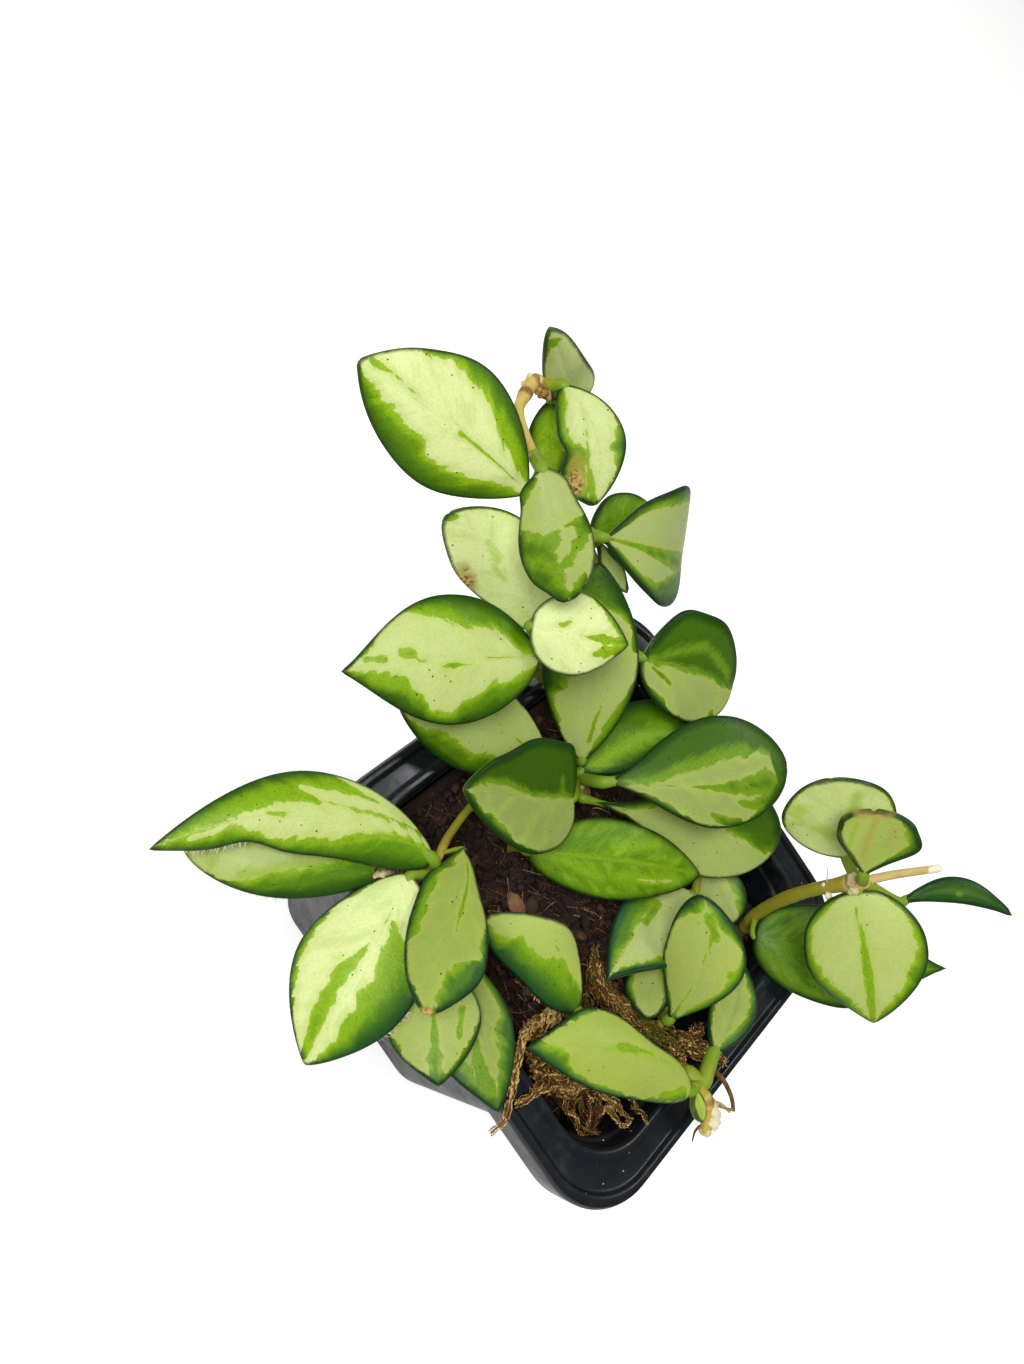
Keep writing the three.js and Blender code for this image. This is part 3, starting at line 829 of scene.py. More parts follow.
wander = w.centred(w.noise(w.stretch(veins, (0.6, 0.24, 1)), 1.0, 4.0, 0.6))
strip = w.math("FLOOR", w.times(w.math("ADD", along_rib, wander), STRIPS_PER_MM))
steps = w.add("ShaderNodeTexWhiteNoise", noise_dimensions="2D")
where = w.add("ShaderNodeCombineXYZ")
w.feed(where.inputs[0], strip)
w.feed(where.inputs[1], leaf_side)
w.feed(steps.inputs["Vector"], where.outputs[0])
jump = w.centred(steps.outputs["Value"])
shake = w.plus(w.times(wander, 2.0), jump, 0.5)
field = w.math("MAXIMUM", w.math("ADD", margin, shake), w.plus(streak, wander, 1.1))
field = w.math("MINIMUM", field, w.math("SUBTRACT", w.times(shake, 0.5), island))
print("side veins step every", round(1 / STRIPS_PER_MM, 1), "mm")

# %% Blade: the pale middle
cloud = w.noise(w.stretch(veins, (0.3, 0.14, 1)), 1.0, 3.0, 0.55)
threads = w.noise(w.stretch(veins, (2.6, 0.3, 1)), 1.0, 2.0, 0.5)
# painted shade and age: the duller a leaf, the more olive its lime and the greyer its pale
lime = w.mix(age_and_shade, LIME, AGED_SHADED_LIME)
pale = w.mix(yellow, CREAM, YELLOW_GREEN)
pale = w.mix(w.times(age_and_shade, 0.85), pale, SHADED_DULL_PALE)
pale = w.mix(w.ease(cloud, 0.42, 0.75, 0.0, 0.4), pale, YELLOW_GREEN)
pale = w.mix(w.ease(threads, 0.5, 0.75, 0.0, 0.08), pale, LEAF_GREEN)
pale = w.mix(w.ease(field, -1.6, 0.0, 0.0, 0.3), pale, YELLOW_GREEN)
pale = w.mix(w.ease(w.plus(faint_patch, wander, 2.6), -0.7, 0.9, 0.0, 0.6), pale, lime)
print("nodes up to the pale middle:", len(w.tree.nodes))

# %% Blade: the green
deep = w.mix(blue, DARK_GREEN, BLUE_GREEN)
old_shaded_or_blue = w.math("MAXIMUM", age_and_shade, blue)
depth = w.plus(field, w.centred(cloud), 2.6)
green = w.mix(w.ease(depth, 0.1, 1.6), lime, LEAF_GREEN)
near_rim = w.times(w.ease(rim, 4.0, 0.5, 0.3, 1.0), w.ease(old_shaded_or_blue, 0.0, 0.7, 0.7, 1.0))
darkening = w.times(w.ease(depth, 0.7, 3.4), near_rim)
# painted shade and age: duller leaves have a darker green
aged_shaded_green = w.times(w.ease(depth, 0.1, 1.8), w.times(age_and_shade, 0.8))
green = w.mix(w.math("MAXIMUM", darkening, aged_shaded_green), green, deep)
lime_share = w.ease(w.plus(lime_patch, wander, 3.0), -0.9, 1.0, 0.0, 0.85)
green = w.mix(lime_share, green, w.mix(0.3, lime, LEAF_GREEN))
rim_shade = w.ease(w.plus(rim, wander, 1.2), 1.6, 0.3, 0.0, 0.85)
green = w.mix(w.times(rim_shade, w.ease(old_shaded_or_blue, 0.0, 0.6, 0.4, 1.0)), green, deep)
print("nodes up to the green:", len(w.tree.nodes))

# %% Blade: painted shade in the grain's pits, rim and underside
skin = w.mix(w.ease(field, -0.1, 0.12), pale, green)
# painted shade: the low spots of the fine grain, which the bump also sinks, are darkened towards deep green
pit_shade = w.times(w.ease(grain["Height"], 0.35, 0.0, 0.0, 0.2), w.ease(field, -0.1, 0.12, 0.35, 1.0))
skin = w.mix(pit_shade, skin, deep)
rim_line = w.ease(w.plus(rim, wander, 0.6), 0.75, 0.2, 0.0, 0.9)
skin = w.mix(rim_line, skin, w.mix(blue, RIM_GREEN, BLUE_RIM))
skin = w.mix(under, skin, w.mix(0.55, skin, UNDERSIDE))
print("nodes up to the underside:", len(w.tree.nodes))

# %% Blade: stains, scars, specks and gloss
stain_share = w.ease(w.plus(stain_patch, wander, 1.6), -1.0, 0.8, 0.0, 0.6)
skin = w.mix(stain_share, skin, STAIN)
rough_scar = w.math("ADD", scar, wander)
scar_mask = w.ease(rough_scar, -0.3, 0.25)
cork = w.mix(w.ease(w.noise(place, 1900.0, 3.0, 0.7), 0.36, 0.56), SCAR_BROWN, SCAR_TAN)
skin = w.mix(w.ease(rough_scar, -1.3, 0.0, 0.0, 0.55), skin, SCAR_HALO)
skin = w.mix(scar_mask, skin, cork)
specks = w.group(specks_group, Place=place, Scale=1000.0, Size=0.115, Share=0.3)["Mask"]
skin = w.mix(w.times(specks, 0.95), skin, SPECK)

gloss = w.mottled(grain, 0.33, 0.45)
roughness = w.math("MAXIMUM", gloss, w.times(scar_mask, 0.8))
relief = w.plus(w.plus(grain["Height"], threads, 0.8), scar_mask, 2.5)
dress(w, shader, skin, roughness, relief, distance=0.05 * MM, strength=0.8)

# %% [markdown]
# ## Stems and petioles
# Young stems and the petioles are smooth and green; older wood is golden tan, wrinkled lengthwise and
# brown and corky at the nodes. One material covers all, because one stem goes from one to the other. It
# reads an age from 0 to 1 that each part of a tube carries.

# %% Material: stem
stem_finish, w, shader = new_material("stem", IOR=1.45, Specular_IOR_Level=0.3)
age, papery = w.parts(w.attribute("bark"))[:2]
grain = w.group(grain_group, Place=w.place(), Scale=1500.0, Pebble=0.4)
mottling = w.ease(age, 0.1, 0.6, 0.15, 0.5)
aged = w.plus(age, w.centred(grain["Mottle"]), mottling)
bark = w.ramp(aged, [
    (0.0, 108, 150, 36), (0.25, 142, 152, 40), (0.42, 166, 150, 48), (0.6, 200, 176, 100),
    (0.8, 150, 110, 60), (1.0, 66, 44, 28),
])
bark = w.mix(papery, bark, colour(236, 228, 198))
roughness = w.ease(age, 0.2, 0.8, 0.42, 0.85)
wrinkles = w.times(grain["Height"], w.ease(age, 0.2, 0.8, 0.3, 1.6))
dress(w, shader, bark, roughness, wrinkles, distance=0.12 * MM, strength=0.8)

# %% Petioles
SOIL_LEVEL = 60
ROOT_DEPTH = 6
PETIOLE_SIDES = 14
PETIOLE_STEP = 0.5
BLADE, STEM = 0, 1
RIDGE_AT = np.array([0.04, 0.12, 0.25, 0.4, 0.6])
RIDGE_DEPTH = np.array([0.35, 0.5, 0.62, 0.66, 0.68])


def rooted(x, y, rest):
    """A stem's first points stand upright in the soil."""
    return [(x, y, SOIL_LEVEL - ROOT_DEPTH), (x, y, SOIL_LEVEL - 2), (x, y, SOIL_LEVEL + 1.5), *rest]


def add_petiole(skin, leaf, stem_path):
    """The stalk from the stem into the blade. It runs on below the blade as the midrib's ridge."""
    start = stem_path[np.argmin(np.linalg.norm(stem_path - leaf.base, axis=1))]
    normal = leaf.axes()[3]
    ridge = leaf.surface(RIDGE_AT, np.zeros(len(RIDGE_AT))) - normal * RIDGE_DEPTH[:, None]
    path = smooth_path([start, *leaf.stalk, leaf.base - normal * 0.2, *ridge], PETIOLE_STEP)
    share = np.linspace(0, 1, len(path))
    at_blade = share[np.argmin(np.linalg.norm(path - leaf.base, axis=1))]
    neck = leaf.petiole
    stops = [0, at_blade * 0.3, at_blade, at_blade + 0.12, 1]
    radii = np.interp(share, stops, [neck * 1.25, neck, neck, 0.62 * neck, 0.12])
    age = np.interp(share, [0, at_blade, 1], [0.22, 0.08, 0.0])
    rows = np.stack([age, 0 * age, share], axis=1)
    skin.add(tube(path, radii, PETIOLE_SIDES), STEM, bark=tube_values(PETIOLE_SIDES, rows))


print("stems are rooted", ROOT_DEPTH, "mm deep")

# %% Stems, lumps and twigs
STEM_SIDES = 18
TWIG_SIDES = 12
STEM_STEP = 0.45
TWIG_STEP = 0.4
LUMP_SHAPE = np.array([1.0, 0.9, 0.8])


def add_stem(skin, points, radius, ages, knots, rng):
    """The stem itself. ages gives (share of the length, age), knots (centre, radius)."""
    path = smooth_path(points, STEM_STEP)
    share = np.linspace(0, 1, len(path))
    radii = np.full(len(path), radius)
    radii = radii * (1 + 0.04 * np.sin(share * 23 + rng.uniform(0, 6)) + 0.012 * np.sin(share * 97))
    age = np.interp(share, *np.array(ages).T)
    for centre, size in knots:
        near = np.exp(-(np.linalg.norm(path - centre, axis=1) / (1.1 * size)) ** 2)
        radii = radii + (size - radius) * near
        age = np.maximum(age, 0.85 * near)
    bark = tube_values(STEM_SIDES, np.stack([age, 0 * age, share], axis=1))
    corners, faces = tube(path, radii, STEM_SIDES)
    wrinkle = np.array([noise.noise(Vector(p * 0.9)) for p in corners])
    middle = tube_values(STEM_SIDES, path)
    depth = 0.02 + 0.32 * np.clip(bark[:, :1] - 0.4, 0, 1)
    corners = corners + (corners - middle) * depth * wrinkle[:, None]
    skin.add((corners, faces), STEM, bark=bark)
    return path


def add_lumps(skin, lumps, rng):
    """Knobs, buds and bits of cork: rows of (centre, size or three sizes, age, papery)."""
    for centre, size, age, papery in lumps:
        radii = LUMP_SHAPE * size
        rough = 0.5 if age > 0.5 else 0.2
        skin.add(lump(centre, radii, rng, rough, turn=np.ndim(size) == 0), STEM, bark=(age, papery, 0))


def add_twig(skin, points, thick, thin, age, papery=0.0, flat=1.0):
    """A dry stalk, a cut stub or a thread of root."""
    line = smooth_path(points, TWIG_STEP)
    radii = np.linspace(thick, thin, len(line))
    skin.add(tube(line, radii, TWIG_SIDES, flat), STEM, bark=(age, papery, 0))


print("stems have", STEM_SIDES, "sides, petioles", PETIOLE_SIDES)

# %% Rim hairs
HAIR_SIDES = 4
HAIR_RADII = np.array([0.045, 0.035, 0.015])


def add_rim_hairs(skin, leaf, rng):
    """Fine white hairs that stand on the edge of a blade."""
    _, along, side, normal = leaf.axes()
    for hand, low, high, count in leaf.hairs:
        for u in rng.uniform(low, high, count):
            root = leaf.surface(u, hand * leaf.reach(hand, u))
            lean = unit(hand * side + rng.uniform(-0.9, 0.9) * normal + rng.uniform(-0.7, 0.7) * along)
            droop = unit(rng.normal(size=3)) * 0.2
            long = rng.uniform(0.4, 1.0)
            end = root + lean * long + droop * long
            line = np.array([root - lean * 0.1, root + lean * long * 0.5, end])
            skin.add(tube(line, HAIR_RADII, HAIR_SIDES), STEM, bark=(0.5, 1.0, 0))


print("a hair is", 2 * HAIR_RADII[0], "mm thick at its root")

# %% A whole leafy stem


def leafy_stem(name, stem, radius, leaves, ages, seed, knots=(), lumps=(), twigs=()):
    """One leafy stem as one mesh, in the place of the node with its name."""
    rng = np.random.default_rng(seed)
    skin = Skin()
    path = add_stem(skin, stem, radius, ages, knots, rng)
    for number, leaf in enumerate(leaves):
        part, values = leaf_part(leaf, seed * 20 + number)
        skin.add(part, BLADE, **values)
        add_petiole(skin, leaf, path)
        add_rim_hairs(skin, leaf, rng)
    add_lumps(skin, lumps, rng)
    for twig in twigs:
        add_twig(skin, *twig)
    skin.build(name + "_fine", name, [blade_finish, stem_finish], LEAF_VALUES)


# %% [markdown]
# ## The long vine
# It leans far out over one side of the pot, and carries the largest leaves at its end, by a golden knobby
# node. Each leaf has a pattern of its own, so each is a row of its own: a loop would make twins.

# %% The long vine
# a margin that begins far beyond the other edge leaves nothing pale
ALL_GREEN = [(0, -300), (100, -300)]

long_vine_leaves = [
    # the large one that points away from the vine's end
    Leaf((-62, 8, 98), (-89, -8, 102), 19, 41, (0.5, 0.8, 0.76), (0.04, 0.15, 0, 0.03), tone=(0.1, 0, 0),
         right=[(5, 38), (15, 28), (28, 38), (38, 53), (48, 69), (55, 68), (63, 79), (68, 88), (75, 83),
                (79, 91), (84, 110), (100, 110)],
         left=[(5, -33), (18, -38), (31, -53), (52, -57), (57, -41), (67, -43), (75, -38), (83, -43),
               (92, -32), (100, -20)],
         green=[[(95, 40, 0.5), (84, 22, 0.25), (71, 5, 0.15)],
                [(46, -2, 0.4), (37, 0, 0.25), (6, 6, 0.12)]],
         lime=[[(10, 45, 0.8), (35, 62, 0.9)]], pushes=[(1, 88, 0.5, 10)]),
    Leaf((-71, 27, 98), (-80, 19, 110), 7.6, 71, (0.3, 0.5, 0.58), (0, 0.1, 0, 0.02), tone=(0.2, 0.15, 0),
         left=[(0, -110), (50, -90), (80, -58), (100, -50)], green=[[(83, -26, 0.9)]],
         pushes=[(1, 10, 0.8, 20)]),
    # the upright one with a corky spot
    Leaf((-73, 22, 103), (-55, 17, 99), 11, -41, (0.5, 0.6, 0.7), (0.05, 0.1, 0, -0.14), tone=(0.1, 0.3, 0),
         right=[(0, 10), (10, 26), (22, 51), (33, 66), (45, 60), (53, 35), (58, 15), (66, 30), (80, 42),
                (100, 50)],
         left=[(10, -85), (27, -79), (41, -71), (53, -52), (60, -25), (64, -50), (83, -66), (100, -60)],
         green=[[(25, 2, 0.12), (50, 22, 0.14), (64, 31, 0.35), (80, 30, 0.5), (100, 30, 0.7)]],
         lime=[[(62, 50, 1.3), (90, 70, 1.6)]], scars=[[(72, 80, 0.95), (84, 93, 0.8)]],
         stains=[[(60, 60, 0.9), (80, 80, 1.3)]],
         pushes=[(1, 52, -0.8, 8), (1, 76, 1.9, 14), (1, 92, 1.2, 8), (-1, 50, -0.8, 40)]),
    Leaf((-73, 24, 97), (-63, 22, 90), 7, -41, (0.5, 0.6, 0.7), (0, 0, 0, 0.05), ground=0.5,
         tone=(0.5, 0.4, 0), right=[(0, 60), (100, 60)], left=[(0, -60), (100, -60)]),
    # the greyish one over the vine
    Leaf((-63, 6, 106), (-45, 1, 100), 11, -38, (0.6, 0.42, 0.55), (0.06, 0.2, 0, 0), tone=(0.35, 0.75, 0),
         green=[[(55, 75, 2.6), (62, 10, 2.7), (52, -50, 1.8), (44, -95, 1.4)],
                [(75, 60, 2.6), (85, 40, 1.9), (95, 30, 1.2)],
                [(95, -40, 0.5), (88, -58, 0.7), (82, -70, 0.6)],
                [(8, 75, 0.5), (17, 97, 0.9), (24, 110, 0.7)]],
         pale=[[(68, 0, 0.3), (62, -12, 0.8), (56, -26, 0.5), (50, -34, 0.9), (46, -48, 0.4)]],
         lime=[[(42, 30, 1.2), (60, -30, 1), (80, 5, 1)]],
         pushes=[(1, 12, 1.4, 10), (-1, 8, 1.2, 10), (1, 93, -1.2, 7)]),
    # the one like a fan
    Leaf((-50, 18, 96), (-41, 44, 84), 21, -31, (0.66, 0.5, 0.5), (0.12, -0.05, 0, 0),
         tone=(0.35, 0.62, 0.2),
         right=[(0, 50), (20, 80), (42, 76), (55, 52), (70, 44), (85, 34), (100, 20)],
         left=[(0, -60), (20, -80), (32, -84), (52, -71), (69, -76), (85, -90), (100, -80)],
         green=[[(2, 5, 0.2), (21, 12, 0.5), (50, 20, 1.3), (80, 30, 2.2)]],
         lime=[[(10, -95, 0.7), (30, -95, 1)], [(40, 8, 0.4), (70, 12, 0.5)]],
         pushes=[(1, 22, 1.2, 20), (-1, 22, 0.8, 20)]),
    Leaf((-52, 21, 91), (-50, 37, 90), 9, -10, ground=1.2, tone=(0.5, 0.3, 0)),
    Leaf((-50, 21, 91), (-40, 24, 87), 3.4, -46, (0.5, 0.8, 0.8), tone=(0.2, 0.4, 0),
         right=[(0, 40), (100, 70)]),
    # the round one, green on one half
    Leaf((-29, 23, 82), (-14, 42, 78), 20, -26, (0.52, 0.42, 0.46), (0.04, 0, 0.1, -0.03),
         tone=(0.4, 0.85, 0), right=[(3, 90), (16, 82), (24, 80), (28, 93), (50, 96), (100, 97)],
         left=[(3, 13), (23, 11), (51, 10), (71, 14), (94, 34), (100, 40)],
         green=[[(9, 26, 0.2), (19, 36, 0.45), (28, 45, 0.3)], [(77, 87, 0.8)]],
         lime=[[(5, 0, 0.3), (19, -20, 0.7), (35, -30, 0.9), (51, -42, 1)],
               [(60, -36, 0.9), (75, -26, 0.9), (88, -10, 0.8)]],
         pushes=[(-1, 20, 1.5, 18), (-1, 80, -0.3, 20)]),
]
leafy_stem(
    "long_vine",
    rooted(-23, 28, [
        (-26, 28, 66), (-32, 26, 73), (-39, 24, 80), (-46, 22, 86), (-52, 19, 91), (-58, 16, 95),
        (-64, 12, 99), (-69, 11.2, 101), (-73, 12.8, 101.2), (-74.8, 15.6, 101.6), (-75.8, 18.4, 101.8),
        (-74.4, 21.4, 100.8),
    ]),
    0.9, long_vine_leaves,
    ages=[(0, 0.8), (0.3, 0.35), (0.6, 0.42), (0.8, 0.52), (0.93, 0.6), (1, 0.3)],
    knots=[((-74.8, 15.6, 101.4), 1.15), ((-75.6, 18.2, 101.6), 1.3)],
    lumps=[((-75.6, 18.6, 102.2), 0.9, 0.6, 0.3), ((-74.4, 18.2, 101.6), 0.7, 0.8, 0),
           ((-73.8, 19.2, 101), 0.9, 0.85, 0),
           ((-73.2, 20.2, 100.6), 0.8, 0.8, 0.1), ((-72.6, 21.2, 100.4), 0.5, 1.0, 0),
           ((-76.6, 17.6, 102.4), 0.55, 0.6, 0.4),
           ((-76.2, 16.2, 101.8), 0.5, 0.64, 0.3)],
    seed=1,
)

# %% [markdown]
# ## The middle vine
# It rises behind its own leaves to a bright young pair. Its oldest leaves stand round its foot, below the
# others, and they are duller and darker than the young ones: partly from their age, and partly by
# painted shade, for the leaves above shade them.

# %% The middle vine
middle_vine_leaves = [
    # the very pale one
    Leaf((-44, 6, 84), (-66, -2, 92), 13.5, 40, (0.5, 0.55, 0.5), (0.04, 0.15, 0, 0.1), tone=(0.18, 0, 0),
         right=[(0, 120), (40, 100), (60, 93), (90, 90), (100, 80)], green=[[(97, -8, 0.7)]],
         lime=[[(97, -8, 1)]], faint=[[(72, 0, 0.3), (60, -10, 0.8)], [(55, -30, 0.3), (42, -30, 0.3)]],
         scars=[[(60, -98, 0.9), (56, -96, 0.8)], [(66, -84, 0.3)]],
         stains=[[(66, -95, 1.2), (52, -98, 0.8)]], pushes=[(-1, 66, 0.9, 20), (-1, 22, -0.8, 14)]),
    # the broad one with a long tip
    Leaf((-40, 0, 88), (-55, -27, 82), 20, 16, (0.47, 0.65, 1.1), (0.06, 0.2, 0, 0.02),
         tone=(0.35, 0.28, 0),
         right=[(8, 6), (13, 15), (19, 37), (27, 51), (41, 44), (51, 63), (60, 70), (65, 88), (79, 98),
                (86, 67), (92, 58), (100, 50)],
         left=[(10, -37), (17, -49), (24, -49), (26, -36), (33, -52), (44, -63), (48, -77), (60, -77),
               (62, -54), (69, -48), (70, -24), (81, -17), (94, -11), (100, 0)],
         green=[[(72, 22, 0.7), (66, 15, 0.6)], [(63, 2, 0.3), (60, 2, 0.3)],
                [(55, -11, 0.2), (46, -8, 0.5), (38, -5, 0.2)], [(31, 0, 0.12), (11, 2, 0.12)],
                [(88, 39, 0.5), (80, 18, 0.5)]],
         lime=[[(42, 56, 1), (55, 74, 0.9)], [(66, -50, 0.9), (85, -40, 1.2)]]),
    # the brightest, youngest one
    Leaf((-45, -1, 92), (-34, 9, 97), 13, -25, (0.45, 0.5, 0.9), (0.05, 0.15, 0, 0), tone=(0, 0.1, 0),
         left=[(30, -120), (50, -99), (61, -88), (70, -72), (79, -62), (89, -45), (100, -10)],
         green=[[(28, -16, 0.5), (38, -27, 0.2)],
                [(51, 4, 0.2), (68, -2, 0.5), (85, -4, 0.8), (96, -20, 0.8)],
                [(65, 44, 0.3), (76, 42, 0.9), (88, 40, 0.9)]],
         lime=[[(28, -16, 0.8), (38, -27, 0.5)], [(55, 0, 0.7), (75, -5, 0.8)], [(70, 42, 0.9)]]),
    Leaf((-23, 2, 69), (-48, -20, 80), 15, 26, (0.5, 0.6, 0.6), (0.05, 0.2, 0, 0.02), tone=(0.5, 0.52, 0),
         left=[(26, -12), (35, -38), (42, -38), (49, -55), (61, -44), (72, -43), (83, -66), (95, -100),
               (100, -100)],
         green=[[(47, 28, 0.14), (25, 16, 0.14)]]),
    # the long one behind the bright pair
    Leaf((-20, 7, 72), (-47, 18, 92), 16, 40, (0.5, 0.8, 0.7), (0.05, 0.15, 0, 0), tone=(0.5, 0.58, 0),
         right=[(5, 32), (11, 46), (21, 55), (29, 68), (35, 73), (41, 86), (47, 100), (68, 97), (76, 70),
                (84, -20), (90, -120), (100, -120)],
         left=[(15, -95), (20, -73), (26, -75), (35, -77), (39, -43), (43, -39), (100, -30)],
         green=[[(74, 107, 0.95), (61, 96, 0.95)], [(48, 30, 0.3), (42, 28, 0.2)],
                [(33, 34, 0.2), (23, 27, 0.35), (12, 25, 0.3)]],
         lime=[[(12, 60, 0.6), (30, 85, 1.2), (40, 95, 0.9)]]),
    # the all-green one: its soft lime patches are a painted sheen, where light glances off its wax
    Leaf((-18, 8, 68), (-14, 33, 74), 12, 4, (0.5, 0.8, 0.7), (0.04, 0, 0, -0.04), tone=(0.5, 0.45, 0.2),
         right=ALL_GREEN, lime=[[(10, 30, 1.6), (70, 20, 1.6)]]),
    # the folded one, dark and glossy on its upper half
    Leaf((-16, 1, 72), (-30, -20, 80), 19, 13, (0.42, 0.5, 0.7), (0, 0, 0.25, 0), tone=(0.5, 1, 0),
         right=[(2, 0), (39, -5), (67, 13), (96, 28), (100, 30)],
         left=[(30, -110), (51, -90), (61, -92), (71, -73), (82, -62), (87, -80), (94, -28), (100, -20)],
         lime=[[(19, 43, 0.4), (13, 8, 0.4)], [(93, 19, 0.4), (73, 23, 0.6), (63, 5, 0.4)]],
         pushes=[(1, 70, -1.2, 15), (1, 12, 2, 10)]),
    # the large one over the right of the soil
    Leaf((-15, 7, 74), (2, 34, 86), 20, -8, (0.6, 1, 0.48), (0.05, 0.1, 0, 0), tone=(0.4, 0.95, 0),
         petiole=1.15, right=[(5, 86), (30, 93), (55, 95), (75, 92), (85, 70), (93, 30), (100, -50)],
         left=[(3, 57), (17, 33), (29, 13), (37, -1), (51, -9), (59, -16), (75, -25), (86, -34), (90, -20),
               (92, 50), (95, 110), (100, 120)],
         green=[[(20, 35, 0.1), (44, 24, 0.14)],
                [(44, 24, 0.2), (55, 27, 0.5), (64, 29, 0.9), (74, 33, 1.6), (86, 35, 2.4)],
                [(16, 95, 0.4), (25, 86, 0.7), (31, 98, 0.9), (39, 105, 1), (48, 103, 0.5)],
                [(53, 72, 0.3), (59, 82, 0.8), (68, 92, 0.9)],
                [(69, 58, 0.4), (77, 70, 0.8), (86, 75, 1.4)]],
         lime=[[(20, 20, 0.5), (37, -12, 1), (51, -20, 1.2), (66, -30, 1.4), (77, -36, 0.9)],
               [(50, 25, 0.5), (64, 40, 0.8), (75, 60, 0.9)], [(28, 90, 1), (42, 105, 0.9)]]),
    Leaf((-14, 6, 67), (15, 34, 74.5), 19, -17, (0.66, 1.3, 0.5), (0.03, 0.05, 0, 0.02),
         tone=(0.45, 0.76, 0), right=[(0, 40), (20, 62), (30, 80), (42, 110), (100, 110)],
         left=[(9, 0), (19, 7), (35, -50), (60, -30), (70, 5), (81, 18), (95, 72), (100, 80)]),
]
leafy_stem(
    "middle_vine",
    rooted(-13, 11, [
        (-15, 9, 64), (-20, 10, 65.5), (-26, 12, 68), (-31, 12, 71.5), (-36.5, 9, 73.5), (-41, 5.5, 77),
        (-43, 3, 82), (-43, 3, 87),
    ]),
    1.1, middle_vine_leaves,
    ages=[(0, 0.85), (0.3, 0.5), (0.6, 0.3), (1, 0.15)],
    knots=[((-15.5, 9, 64.5), 1.7), ((-43, 3, 87), 1.3)],
    lumps=[((-15.6, 7.6, 66), 1.0, 0.75, 0.2)],
    twigs=[([(-13.5, 20.5, 68.4), (-13.2, 18.1, 67.3), (-12.5, 15.9, 66), (-13.5, 12.5, 65)], 0.35, 0.55,
            0.66, 0.3)],
    seed=2,
)

# %% [markdown]
# ## The left vine
# It creeps over the near rim, and its leaves hang outside the pot.

